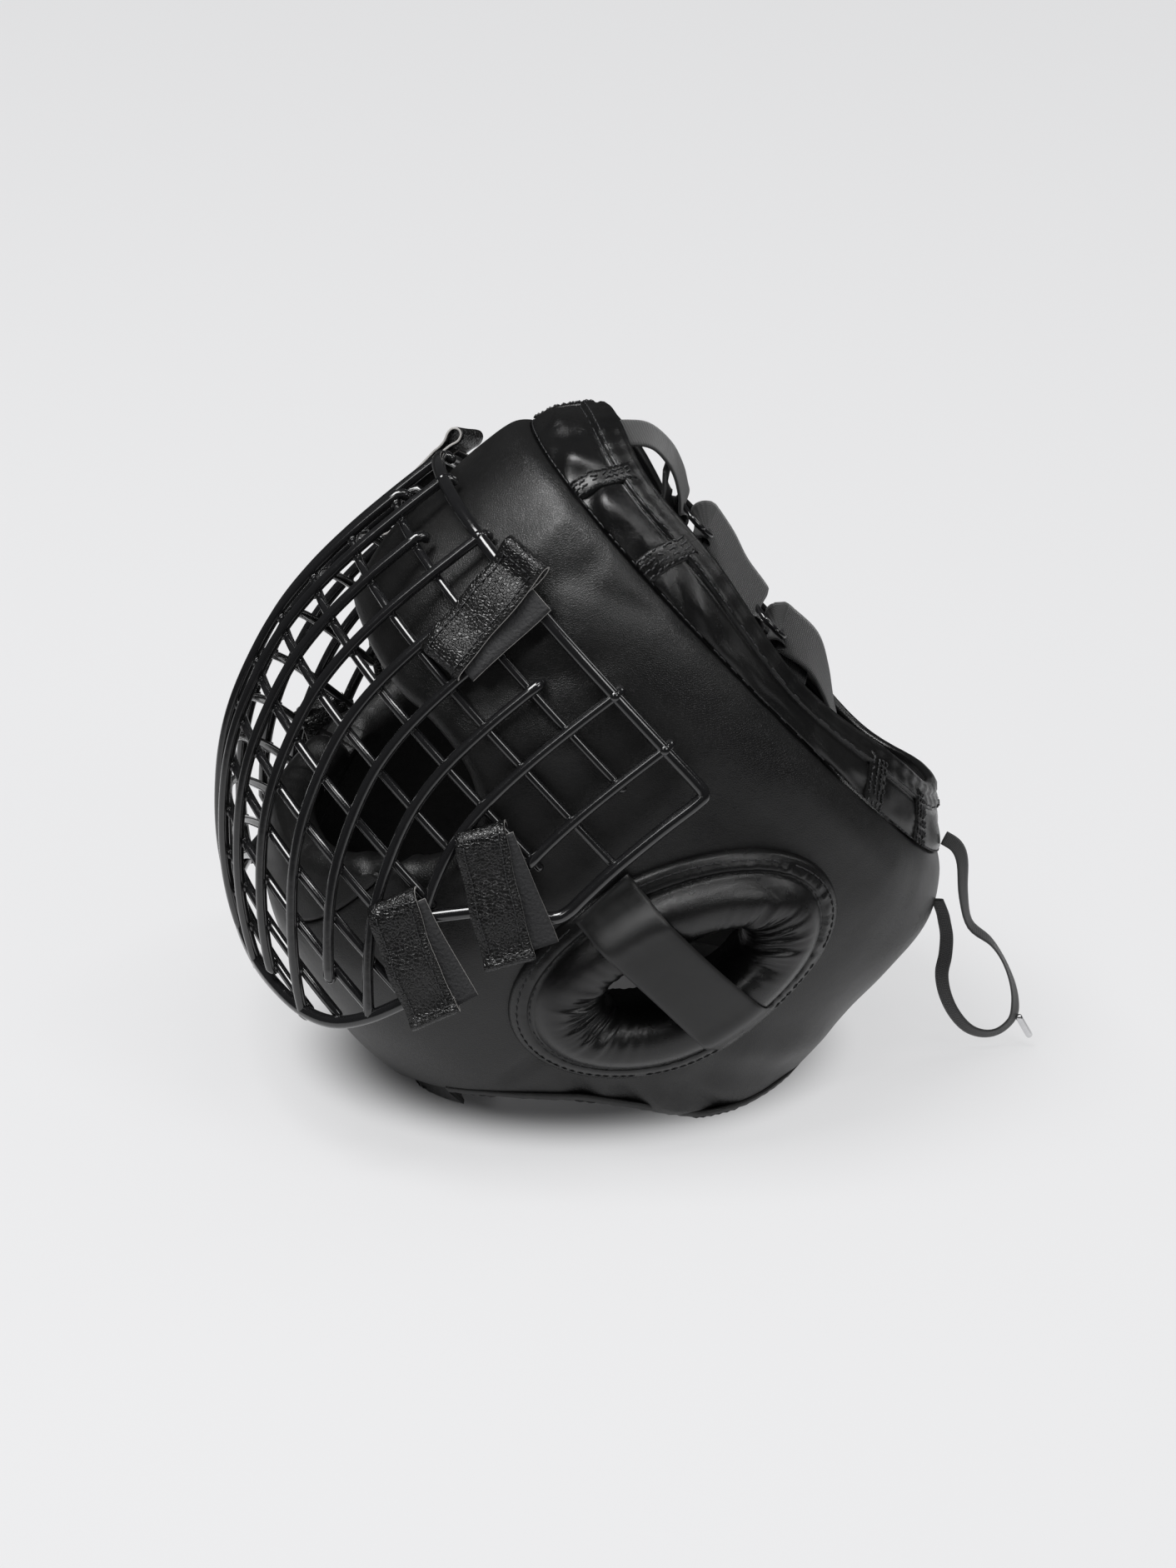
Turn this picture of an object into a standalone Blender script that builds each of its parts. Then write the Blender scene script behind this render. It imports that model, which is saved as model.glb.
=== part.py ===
import math

import bmesh
import bpy
from mathutils import Vector

# Boxing headgear with a wire visor, lying tipped back on its neck rim and jaw.
# Head frame in millimetres: x to the wearer's left, y to the back, z up, origin between the ear pads.
MM = 0.001
TILT_DEG = 47.0

# Padded shell over all. The tables below hold percent of these: x of the width, y of the
# length, z of the height.
SHELL_WIDTH = 209.0
SHELL_LENGTH = 310.0
SHELL_HEIGHT = 241.0
# Lowest corner of the neck rim at the back, where the shell lies on the floor (y, z).
REST_CORNER_SHARES = (30.7, -14.9)
# How far the soft rim and jaw are flattened where they lie on the floor.
PRESS_DEPTH = 2.2

# Outer leather surface: height, front end, back end, half width, roundness.
SHELL_SHARES = (
    (43.2, -58.4, 29.7, 41.6, 2.2),
    (40.2, -60.0, 33.2, 44.5, 2.2),
    (33.2, -60.5, 36.8, 47.6, 2.2),
    (22.8, -60.5, 38.4, 49.3, 2.2),
    (12.4, -60.2, 39.0, 50.0, 2.22),
    (2.1, -57.7, 39.4, 50.0, 2.35),
    (-6.6, -54.2, 39.0, 49.8, 2.55),
    (-14.9, -50.3, 38.1, 49.0, 2.8),
    (-23.2, -47.1, 36.8, 47.4, 2.7),
    (-31.5, -44.5, 33.5, 45.0, 2.5),
    (-39.0, -41.9, 28.4, 41.6, 2.4),
    (-45.6, -38.4, 21.3, 36.4, 2.3),
    (-51.0, -33.5, 13.5, 29.7, 2.2),
    (-54.8, -27.7, 7.1, 22.5, 2.1),
    (-56.8, -21.3, 2.6, 17.2, 2.0),
)
SHELL_COLUMNS = 40
PAD_THICKNESS = 21.0
CHIN_FLOOR_SHARE = -51.5

# Neck rim: depth, rim height at the middle, rim height at the sides.
NECK_RIM_SHARES = (
    (-45.2, -136.9, -93.6),
    (-19.4, -99.6, -60.6),
    (-6.5, -74.7, -52.1),
    (1.6, -54.8, -41.3),
    (9.7, -40.2, -31.6),
    (17.7, -29.5, -25.6),
    (25.2, -20.7, -21.4),
    (31.6, -11.6, -13.3),
    (38.7, -2.1, -3.4),
    (51.6, 15.8, 14.9),
)
NECK_BINDING_HEIGHT = 6.0
PIECE_GAP = 0.35

# Face opening seen from the front: half width at each height.
FACE_OPENING_SHARES = (
    (-5.0, 0.0),
    (-4.6, 21.5),
    (-2.5, 33.5),
    (-3.3, 41.1),
    (-9.1, 44.5),
    (-16.6, 43.1),
    (-23.2, 38.3),
    (-29.9, 29.7),
    (-36.5, 17.2),
    (-38.2, 0.0),
)
FACE_OPENING_BACK_SHARE = -22.6

# Chin cup, cut from the jaw along this side profile (y, z).
CHIN_CUP_SHARES = (
    (-20.6, -62.2),
    (-22.6, -56.8),
    (-33.2, -49.4),
    (-36.1, -24.9),
    (-74.2, -24.9),
    (-74.2, -62.2),
)

# Crown hem: height, front end, back end, half width.
HEM_SHARES = (
    (43.4, -58.2, 29.7, 41.4, 2.2),
    (46.9, -57.1, 27.1, 40.4, 2.2),
    (51.9, -53.9, 22.6, 38.5, 2.2),
)
HEM_THICKNESS = 7.0
HEM_FRONT_RISE = 4.0
HEM_WAVE = 1.6
# The slack hem leans in and sags on the wearer's right.
HEM_SAG_TURN_DEG = 120.0
HEM_LEAN = 12.0
HEM_SAG = 9.0

EAR_CENTRE_Y = 2.0
EAR_CENTRE_Z = -2.0
EAR_TILT_DEG = 20.0
EAR_OUTER = (66.0, 43.0)
EAR_HOLE = (44.0, 18.0)
EAR_PAD_HEIGHT = 15.0
EAR_SEGMENTS = 24
EAR_STRAP_WIDTH = 31.0
EAR_STRAP_HALF_SPAN = 50.0
EAR_STRAP_CENTRE = (-1.0, -2.0)
EAR_STRAP_THICKNESS = 1.6

# Visor rows: height and front-centre depth. Columns count outward from the centre wire.
CAGE_ROW_SHARES = (
    (26.1, -63.2),
    (15.8, -63.9),
    (5.4, -64.2),
    (-4.6, -63.9),
    (-14.1, -62.6),
    (-23.2, -60.0),
    (-31.5, -56.8),
    (-38.6, -52.9),
    (-45.2, -48.1),
    (-51.0, -42.9),
    (-55.6, -37.7),
    (-59.3, -32.3),
    (-62.2, -26.5),
)
CAGE_COLUMN_SHARES = (
    (0.0, 0.0),
    (11.0, 1.0),
    (20.8, 3.5),
    (29.4, 7.7),
    (36.6, 13.2),
    (42.1, 19.7),
    (46.4, 26.6),
    (51.2, 36.1),
    (54.8, 44.5),
)
# The visor widens downward from this height, by this much over this span.
CAGE_FLARE_TOP_SHARE = -4.1
CAGE_FLARE_SPAN_SHARE = 51.5
CAGE_FLARE = 0.22
FRAME_RADIUS = 2.4
UPRIGHT_RADIUS = 2.1
CROSSBAR_RADIUS = 1.7
UPRIGHT_OFFSET = 0.4
CROSSBAR_OFFSET = -2.9
WIRE_SIDES = 5
# Each upright: column, top row, bottom row.
UPRIGHTS = (
    (0, 0.9, 11.9), (1, 1.9, 12.0), (2, 0.9, 11.0), (3, 1.9, 11.0),
    (4, 0.9, 9.15), (5, 1.9, 9.0), (6, 0.9, 8.0), (7, 0.9, 4.05),
)
# Each crossbar: row, last column reached on both sides.
CROSSBARS = ((2, 7.1), (3, 8.0), (4, 7.15), (5, 6.0), (6, 6.1), (7, 6.0), (8, 5.9), (9, 5.0), (10, 4.0), (11, 3.0))
BOTTOM_FRAME = ((0.0, 12.0), (1.0, 11.9), (2.0, 11.5), (3.0, 10.95), (4.0, 10.1), (5.0, 9.05), (6.0, 7.9))
SIDE_FRAME_ROWS = (1.0, 2.0, 3.0, 4.0, 4.45)
SIDE_FRAME_RETURN = ((7.0, 5.1), (6.0, 6.3))

TAB_WIDTH = 22.0
TAB_NECK_WIDTH = 19.0
TAB_THICKNESS = 2.0
TAB_CLEARANCE = 1.4
TAB_FOLD_RADIUS = 2.2
# Closure tabs: name, column and row of the fold, then of the free end past the frame wire.
TABS = (
    ("top", 3.6, 2.7, 3.25, 0.65),
    ("middle", 6.25, 4.6, 7.4, 5.5),
    ("bottom", 5.5, 6.45, 6.55, 7.45),
)

CROWN_STRAP_WIDTH = 25.0
CROWN_STRAP_THICKNESS = 1.6
RING_RADIUS = 8.0
RING_WIRE_RADIUS = 1.4
# Elastic straps over the crown, front to back, as (y, z).
CROWN_STRAP_SHARES = (
    ("crown_strap_front", ((-54.0, 46.5), (-51.9, 51.5), (-49.7, 55.6), (-46.8, 58.1), (-42.6, 58.1),
                           (-39.0, 56.4), (-36.3, 54.2))),
    ("crown_strap_middle", ((-30.1, 54.1), (-25.8, 53.1), (-21.3, 51.5), (-16.6, 50.6))),
    ("crown_strap_rear", ((-10.4, 50.6), (-4.8, 51.3), (0.6, 49.4), (7.1, 46.9), (13.5, 45.6), (19.4, 45.7), (24.0, 46.0))),
)
CROWN_RING_SHARES = (("crown_ring_front", -33.2, 54.1), ("crown_ring_rear", -13.5, 50.6))

HEM_LOOP_TURNS_DEG = (25.0, 51.0, 115.0, 137.0)
HEM_LOOP_WIDTH = 11.0
HEM_LOOP_THICKNESS = 1.6

LACE_RADIUS = 3.2
LACE_X = 38.0
LACE_PATH = (
    (79.5, 111.3), (87.0, 112.5), (95.0, 109.5), (108.0, 99.5), (122.0, 92.0), (136.0, 93.0), (148.0, 91.0), (160.0, 86.5), (169.0, 81.0),
    (174.5, 75.0), (175.0, 67.0), (171.0, 61.0), (163.0, 57.5), (152.0, 58.0), (141.0, 61.5), (132.0, 67.0),
    (126.0, 74.0), (119.0, 80.5), (112.5, 84.5), (107.8, 87.0),
)
LACE_TIP = ((178.2, 77.0), (187.0, 75.0))
LACE_TIP_RADIUS = 1.6


def across(share):
    return share * SHELL_WIDTH / 100.0


def deep(share):
    return share * SHELL_LENGTH / 100.0


def high(share):
    return share * SHELL_HEIGHT / 100.0


SHELL_STATIONS = [(high(z), deep(f), deep(b), across(w), p) for z, f, b, w, p in SHELL_SHARES]
NECK_RIM = [(deep(y), high(middle), high(aside)) for y, middle, aside in NECK_RIM_SHARES]
FACE_OPENING = [(high(z), across(x)) for z, x in FACE_OPENING_SHARES]
CHIN_CUP_PROFILE = [(deep(y), high(z)) for y, z in CHIN_CUP_SHARES]
HEM_STATIONS = [(high(z), deep(f), deep(b), across(w), p) for z, f, b, w, p in HEM_SHARES]
CAGE_ROWS = [(high(z), deep(y)) for z, y in CAGE_ROW_SHARES]
CAGE_COLUMNS = [(across(x), deep(y)) for x, y in CAGE_COLUMN_SHARES]
CROWN_STRAPS = [(name, [(deep(y), high(z)) for y, z in path]) for name, path in CROWN_STRAP_SHARES]
CROWN_RINGS = [(name, deep(y), high(z)) for name, y, z in CROWN_RING_SHARES]


def clear_scene():
    for item in list(bpy.data.objects):
        bpy.data.objects.remove(item, do_unlink=True)


def material(name, color, roughness, metallic=0.0):
    mat = bpy.data.materials.new(name)
    mat.use_nodes = True
    node = mat.node_tree.nodes["Principled BSDF"]
    node.inputs["Base Color"].default_value = (color[0], color[1], color[2], 1.0)
    node.inputs["Roughness"].default_value = roughness
    node.inputs["Metallic"].default_value = metallic
    return mat


def to_world(point):
    """Head frame millimetres to metres, tipped back so that the rest corner is on the floor."""
    angle = math.radians(TILT_DEG)
    y = point[1] * math.cos(angle) + point[2] * math.sin(angle)
    z = -point[1] * math.sin(angle) + point[2] * math.cos(angle)
    corner_y = deep(REST_CORNER_SHARES[0])
    corner_z = high(REST_CORNER_SHARES[1])
    drop = corner_y * math.sin(angle) - corner_z * math.cos(angle) - PRESS_DEPTH
    return Vector((point[0], y, z + drop)) * MM


def table(rows, height, column):
    """Straight-line reading of one column of a station table, highest station first."""
    if height >= rows[0][0]:
        return rows[0][column]
    for upper, lower in zip(rows, rows[1:]):
        if height >= lower[0]:
            share = (height - lower[0]) / (upper[0] - lower[0])
            return lower[column] + share * (upper[column] - lower[column])
    return rows[-1][column]


def outline(front, back, half_width, power, turn):
    """Point of a rounded outline; turn 0 faces forward and grows to the wearer's left."""
    middle = 0.5 * (front + back)
    half_length = 0.5 * (back - front)
    s = math.sin(turn)
    c = math.cos(turn)
    x = half_width * math.copysign(abs(s) ** (2.0 / power), s)
    y = middle - half_length * math.copysign(abs(c) ** (2.0 / power), c)
    return x, y


def side_surface(y, z):
    """Outer half width of the leather shell at this depth and height."""
    front = table(SHELL_STATIONS, z, 1)
    back = table(SHELL_STATIONS, z, 2)
    half_width = table(SHELL_STATIONS, z, 3)
    power = table(SHELL_STATIONS, z, 4)
    part = abs((y - 0.5 * (front + back)) / (0.5 * (back - front)))
    return half_width * max(0.0, 1.0 - part ** power) ** (1.0 / power)


def make_object(name, verts, faces, mat=None):
    mesh = bpy.data.meshes.new(name)
    mesh.from_pydata([tuple(v) for v in verts], [], faces)
    mesh.validate()
    item = bpy.data.objects.new(name, mesh)
    bpy.context.scene.collection.objects.link(item)
    if mat is not None:
        mesh.materials.append(mat)
    bm = bmesh.new()
    bm.from_mesh(mesh)
    bmesh.ops.recalc_face_normals(bm, faces=bm.faces)
    bm.to_mesh(mesh)
    bm.free()
    return item


def ring_grid(rows, columns, flip=False):
    """Faces of a stack of closed loops, row after row, joined back to the first row."""
    faces = []
    for r in range(rows):
        nxt = (r + 1) % rows
        for c in range(columns):
            d = (c + 1) % columns
            quad = (r * columns + c, r * columns + d, nxt * columns + d, nxt * columns + c)
            faces.append(tuple(reversed(quad)) if flip else quad)
    return faces


def cutter(name, verts, faces):
    item = make_object(name, verts, faces)
    item.display_type = "WIRE"
    item.hide_render = True
    return item


def apply_boolean(target, tool, operation, keep_tool=False):
    mod = target.modifiers.new("cut", "BOOLEAN")
    mod.operation = operation
    mod.solver = "EXACT"
    mod.object = tool
    graph = bpy.context.evaluated_depsgraph_get()
    mesh = bpy.data.meshes.new_from_object(target.evaluated_get(graph))
    target.modifiers.clear()
    old = target.data
    target.data = mesh
    bpy.data.meshes.remove(old)
    if not keep_tool:
        bpy.data.objects.remove(tool, do_unlink=True)


def tidy_mesh(item, distance=0.00005):
    bm = bmesh.new()
    bm.from_mesh(item.data)
    bmesh.ops.remove_doubles(bm, verts=bm.verts, dist=distance)
    bmesh.ops.dissolve_degenerate(bm, edges=bm.edges, dist=0.00002)
    bmesh.ops.triangulate(bm, faces=bm.faces)
    bmesh.ops.recalc_face_normals(bm, faces=bm.faces)
    bm.to_mesh(item.data)
    bm.free()


def smooth_line(points, steps):
    """Rounded path through the given points."""
    result = []
    count = len(points)
    for i in range(count - 1):
        p0 = Vector(points[max(i - 1, 0)])
        p1 = Vector(points[i])
        p2 = Vector(points[i + 1])
        p3 = Vector(points[min(i + 2, count - 1)])
        for k in range(steps):
            t = k / steps
            result.append(0.5 * (2 * p1 + (p2 - p0) * t + (2 * p0 - 5 * p1 + 4 * p2 - p3) * t * t
                                 + (3 * p1 - p0 - 3 * p2 + p3) * t * t * t))
    result.append(Vector(points[-1]))
    return result


def tube_parts(points, radius, sides, closed=False):
    """Vertices and faces of a round wire along head-frame points."""
    verts = []
    faces = []
    count = len(points)
    normal = None
    for i, point in enumerate(points):
        before = points[i - 1] if (i > 0 or closed) else points[i]
        after = points[(i + 1) % count] if (i < count - 1 or closed) else points[i]
        tangent = (after - before).normalized()
        if normal is None:
            normal = tangent.orthogonal().normalized()
        normal = (normal - tangent * normal.dot(tangent)).normalized()
        side = tangent.cross(normal)
        for k in range(sides):
            a = 2 * math.pi * k / sides
            verts.append(point + normal * (radius * math.cos(a)) + side * (radius * math.sin(a)))
    last = count if closed else count - 1
    for i in range(last):
        j = (i + 1) % count
        for k in range(sides):
            m = (k + 1) % sides
            faces.append((i * sides + k, i * sides + m, j * sides + m, j * sides + k))
    if not closed:
        faces.append(tuple(reversed(range(sides))))
        faces.append(tuple((count - 1) * sides + k for k in range(sides)))
    return verts, faces


def tube_object(name, paths, mat=None):
    """One object holding several separate wires, each (points, radius)."""
    verts = []
    faces = []
    for points, radius, closed in paths:
        part_verts, part_faces = tube_parts(points, radius, WIRE_SIDES, closed)
        base = len(verts)
        verts += [to_world(v) for v in part_verts]
        faces += [tuple(base + i for i in face) for face in part_faces]
    return make_object(name, verts, faces, mat)


def cage_point(column, row, outward=0.0):
    """Visor surface point; columns are signed, positive on the wearer's left."""
    side = -1.0 if column < 0 else 1.0
    k = min(abs(column), 8.0)
    i = min(int(k), 7)
    f = k - i
    x = CAGE_COLUMNS[i][0] * (1 - f) + CAGE_COLUMNS[i + 1][0] * f
    y = CAGE_COLUMNS[i][1] * (1 - f) + CAGE_COLUMNS[i + 1][1] * f
    j = min(int(max(row, 1.0)) - 1, len(CAGE_ROWS) - 2)
    g = row - 1 - j
    z = CAGE_ROWS[j][0] * (1 - g) + CAGE_ROWS[j + 1][0] * g
    depth = CAGE_ROWS[j][1] * (1 - g) + CAGE_ROWS[j + 1][1] * g
    low = max(0.0, high(CAGE_FLARE_TOP_SHARE) - z) / high(CAGE_FLARE_SPAN_SHARE)
    grow = 1.0 + CAGE_FLARE * low * low
    point = Vector((side * x * grow, depth + y * grow, z))
    if outward:
        ahead = cage_point(column + 0.25, row) - cage_point(column - 0.25, row)
        down = cage_point(column, min(row + 0.25, 12.9)) - cage_point(column, max(row - 0.25, 1.0))
        normal = ahead.cross(down).normalized()
        if normal.dot(Vector((point.x, point.y + 60.0, 0.0))) < 0:
            normal = -normal
        point = point + normal * outward
    return point


clear_scene()
leather = material("leather_black", (0.012, 0.012, 0.013), 0.42)
lining = material("leather_trim", (0.010, 0.010, 0.011), 0.5)
wire_black = material("coated_wire", (0.008, 0.008, 0.009), 0.28)
elastic = material("elastic_webbing", (0.02, 0.02, 0.022), 0.8)
metal = material("bright_metal", (0.6, 0.6, 0.6), 0.3, 1.0)

# Padded body: outer and inner loops make one thick tub open at the crown.
outer_rows = [[] for _ in SHELL_STATIONS]
inner_rows = [[] for _ in SHELL_STATIONS]
for r, (z, front, back, half, power) in enumerate(SHELL_STATIONS):
    for c in range(SHELL_COLUMNS):
        turn = 2 * math.pi * (c + 0.5) / SHELL_COLUMNS
        x, y = outline(front, back, half, power, turn)
        outer_rows[r].append((x, y, z))
        inset = PAD_THICKNESS
        x, y = outline(front + inset, back - inset, half - inset, power, turn)
        inner_rows[r].append((x, y, z))
floor_row = [row for row in range(len(SHELL_STATIONS)) if SHELL_STATIONS[row][0] > high(CHIN_FLOOR_SHARE)]
body_verts = []
for r in reversed(floor_row):
    for point in inner_rows[r]:
        body_verts.append(to_world(point))
inner_count = len(floor_row)
for r in range(len(SHELL_STATIONS)):
    for point in outer_rows[r]:
        body_verts.append(to_world(point))
rows_total = inner_count + len(SHELL_STATIONS)
faces = []
for r in range(rows_total - 1):
    for c in range(SHELL_COLUMNS):
        d = (c + 1) % SHELL_COLUMNS
        faces.append((r * SHELL_COLUMNS + c, r * SHELL_COLUMNS + d,
                      (r + 1) * SHELL_COLUMNS + d, (r + 1) * SHELL_COLUMNS + c))
faces.append(tuple(range(SHELL_COLUMNS)))
faces.append(tuple(reversed(range((rows_total - 1) * SHELL_COLUMNS, rows_total * SHELL_COLUMNS))))
body = make_object("padded_shell", body_verts, faces, leather)


def prism_x(name, profile, half):
    """Cutter with a side profile (y, z) reaching both ways in x."""
    count = len(profile)
    verts = [to_world((-half, y, z)) for y, z in profile] + [to_world((half, y, z)) for y, z in profile]
    faces = [tuple(range(count)), tuple(reversed(range(count, 2 * count)))]
    for i in range(count):
        j = (i + 1) % count
        faces.append((i, i + count, j + count, j))
    return cutter(name, verts, faces)


def prism_y(name, half_profile, front, back):
    """Cutter with a front profile (z, half width) reaching along y."""
    right = [(w, z) for z, w in half_profile]
    left = [(-w, z) for z, w in reversed(half_profile) if w > 0.0]
    loop = right + left
    count = len(loop)
    verts = [to_world((x, front, z)) for x, z in loop] + [to_world((x, back, z)) for x, z in loop]
    faces = [tuple(range(count)), tuple(reversed(range(count, 2 * count)))]
    for i in range(count):
        j = (i + 1) % count
        faces.append((i, i + count, j + count, j))
    return cutter(name, verts, faces)


def neck_cutter(name, low, high):
    """Cutter between two copies of the curved neck rim surface, low None for everything below."""
    verts = []
    for lift in (high, low):
        for y, middle, aside in NECK_RIM:
            for share in (-1.5, 0.0, 1.5):
                z = middle + abs(share) * (aside - middle) + (lift if lift is not None else 0.0)
                verts.append(to_world((0.5 * SHELL_WIDTH * share, y, z if lift is not None else -2.0 * SHELL_HEIGHT)))
    count = len(NECK_RIM)
    base = 3 * count
    faces = []
    for r in range(count - 1):
        for c in range(2):
            a = 3 * r + c
            for offset, flip in ((0, False), (base, True)):
                if c:
                    tri_one = (offset + a, offset + a + 1, offset + a + 4)
                    tri_two = (offset + a, offset + a + 4, offset + a + 3)
                else:
                    tri_one = (offset + a, offset + a + 1, offset + a + 3)
                    tri_two = (offset + a + 1, offset + a + 4, offset + a + 3)
                for tri in (tri_one, tri_two):
                    faces.append(tuple(reversed(tri)) if flip else tri)
    edge = [0, 1, 2] + [3 * r + 2 for r in range(1, count)] + [3 * count - 2, 3 * count - 3]
    edge += [3 * r for r in reversed(range(1, count - 1))]
    for i, one in enumerate(edge):
        two = edge[(i + 1) % len(edge)]
        faces.append((one, two, two + base, one + base))
    return cutter(name, verts, faces)


apply_boolean(body, neck_cutter("neck_cut", None, 0.0), "DIFFERENCE")
apply_boolean(body, prism_y("face_cut", FACE_OPENING, -SHELL_LENGTH, deep(FACE_OPENING_BACK_SHARE)), "DIFFERENCE")

ear_verts = []
for side_x in (-SHELL_WIDTH, SHELL_WIDTH):
    for k in range(EAR_SEGMENTS):
        a = 2 * math.pi * k / EAR_SEGMENTS
        tilt = math.radians(EAR_TILT_DEG)
        along = EAR_HOLE[0] * math.cos(a)
        across = EAR_HOLE[1] * math.sin(a)
        y = EAR_CENTRE_Y + along * math.sin(tilt) + across * math.cos(tilt)
        z = EAR_CENTRE_Z + along * math.cos(tilt) - across * math.sin(tilt)
        ear_verts.append(to_world((side_x, y, z)))
ear_faces = [tuple(range(EAR_SEGMENTS)), tuple(reversed(range(EAR_SEGMENTS, 2 * EAR_SEGMENTS)))]
for k in range(EAR_SEGMENTS):
    m = (k + 1) % EAR_SEGMENTS
    ear_faces.append((k, k + EAR_SEGMENTS, m + EAR_SEGMENTS, m))
apply_boolean(body, cutter("ear_cut", ear_verts, ear_faces), "DIFFERENCE")


def copy_of(item, name):
    twin = item.copy()
    twin.data = item.data.copy()
    twin.name = name
    bpy.context.scene.collection.objects.link(twin)
    return twin


# Chin cup: the front of the jaw, split from the shell along the seam.
chin = copy_of(body, "chin_cup")
apply_boolean(chin, prism_x("cup_keep", CHIN_CUP_PROFILE, SHELL_WIDTH), "INTERSECT")
wide = []
for y, z in CHIN_CUP_PROFILE:
    wide.append((y + PIECE_GAP, z + PIECE_GAP))
apply_boolean(body, prism_x("cup_drop", wide, SHELL_WIDTH + 1.0), "DIFFERENCE")

# Neck binding: the lowest strip of the shell along the neck cut.
binding = copy_of(body, "neck_binding")
apply_boolean(binding, neck_cutter("binding_keep", -9.0, NECK_BINDING_HEIGHT), "INTERSECT")
apply_boolean(body, neck_cutter("binding_drop", None, NECK_BINDING_HEIGHT + PIECE_GAP), "DIFFERENCE")
for item in (body, chin, binding):
    for vertex in item.data.vertices:
        vertex.co.z = max(0.0, vertex.co.z)
    tidy_mesh(item)
binding.data.materials.clear()
binding.data.materials.append(lining)

# Crown hem: a thinner gathered band above the padding.
hem_verts = []
hem_rows = len(HEM_STATIONS)


def hem_point(station, turn, inset):
    z, front, back, half, power = station
    x, y = outline(front + inset, back - inset, half - inset, power, turn)
    share = (z - HEM_STATIONS[0][0]) / (HEM_STATIONS[-1][0] - HEM_STATIONS[0][0])
    rise = HEM_FRONT_RISE * max(0.0, math.cos(turn)) + HEM_WAVE * math.cos(6.0 * turn)
    sag = share * max(0.0, math.cos(turn + math.radians(HEM_SAG_TURN_DEG)))
    lean = 1.0 - sag * HEM_LEAN / HEM_STATIONS[0][3]
    return (x * lean, y, z + share * rise - sag * HEM_SAG)


for r in range(hem_rows):
    for c in range(SHELL_COLUMNS):
        hem_verts.append(to_world(hem_point(HEM_STATIONS[r], 2 * math.pi * (c + 0.5) / SHELL_COLUMNS, 0.0)))
for r in reversed(range(hem_rows)):
    for c in range(SHELL_COLUMNS):
        hem_verts.append(to_world(hem_point(HEM_STATIONS[r], 2 * math.pi * (c + 0.5) / SHELL_COLUMNS, HEM_THICKNESS)))
make_object("crown_hem", hem_verts, ring_grid(2 * hem_rows, SHELL_COLUMNS), leather)


def patch_solid(name, front_rows, back_rows, mat):
    """Closed thin sheet from matching grids of outer and inner world points."""
    rows = len(front_rows)
    cols = len(front_rows[0])
    verts = [p for row in front_rows for p in row] + [p for row in back_rows for p in row]
    base = rows * cols
    faces = []
    for r in range(rows - 1):
        for c in range(cols - 1):
            a = r * cols + c
            faces.append((a, a + 1, a + cols + 1, a + cols))
            faces.append((base + a, base + a + cols, base + a + cols + 1, base + a + 1))
    edge = [(0, c) for c in range(cols)] + [(r, cols - 1) for r in range(1, rows)]
    edge += [(rows - 1, c) for c in reversed(range(cols - 1))] + [(r, 0) for r in reversed(range(1, rows - 1))]
    for i, (r, c) in enumerate(edge):
        r2, c2 = edge[(i + 1) % len(edge)]
        a = r * cols + c
        b = r2 * cols + c2
        faces.append((b, a, base + a, base + b))
    return make_object(name, verts, faces, mat)


# Loops stitched over the hem.
for side, side_name in ((1.0, "left"), (-1.0, "right")):
    for number, turn_deg in enumerate(HEM_LOOP_TURNS_DEG):
        outer = []
        inner = []
        for station in HEM_STATIONS:
            row_outer = []
            row_inner = []
            for step in (-0.5, 0.5):
                turn = side * math.radians(turn_deg + step * math.degrees(HEM_LOOP_WIDTH / 105.0))
                row_outer.append(to_world(hem_point(station, turn, -0.9 - HEM_LOOP_THICKNESS)))
                row_inner.append(to_world(hem_point(station, turn, -0.9)))
            outer.append(row_outer)
            inner.append(row_inner)
        patch_solid("hem_loop_%s_%d" % (side_name, number + 1), outer, inner, lining)


def dome(share):
    return max(0.0, math.sin(math.pi * share)) ** 0.7


def ear_share(y, z):
    """0 at the ear hole edge, 1 at the outer edge of the pad."""
    tilt = math.radians(EAR_TILT_DEG)
    dy = y - EAR_CENTRE_Y
    dz = z - EAR_CENTRE_Z
    along = dy * math.sin(tilt) + dz * math.cos(tilt)
    across = dy * math.cos(tilt) - dz * math.sin(tilt)
    low = -0.7
    high = 3.0
    for _ in range(30):
        mid = 0.5 * (low + high)
        a = EAR_HOLE[0] + mid * (EAR_OUTER[0] - EAR_HOLE[0])
        b = EAR_HOLE[1] + mid * (EAR_OUTER[1] - EAR_HOLE[1])
        if (along / a) ** 2 + (across / b) ** 2 > 1.0:
            low = mid
        else:
            high = mid
    return mid


def strap_lift(y, z):
    """Height of the ear strap over the shell: level across the hole, then down over the pad."""
    share = ear_share(y, z)
    if share < 0.5:
        return EAR_PAD_HEIGHT + 4.6
    if share < 1.0:
        return EAR_PAD_HEIGHT * dome(share) + 4.6
    return 4.6 - 3.6 * min(1.0, (share - 1.0) / 0.08)


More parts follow.
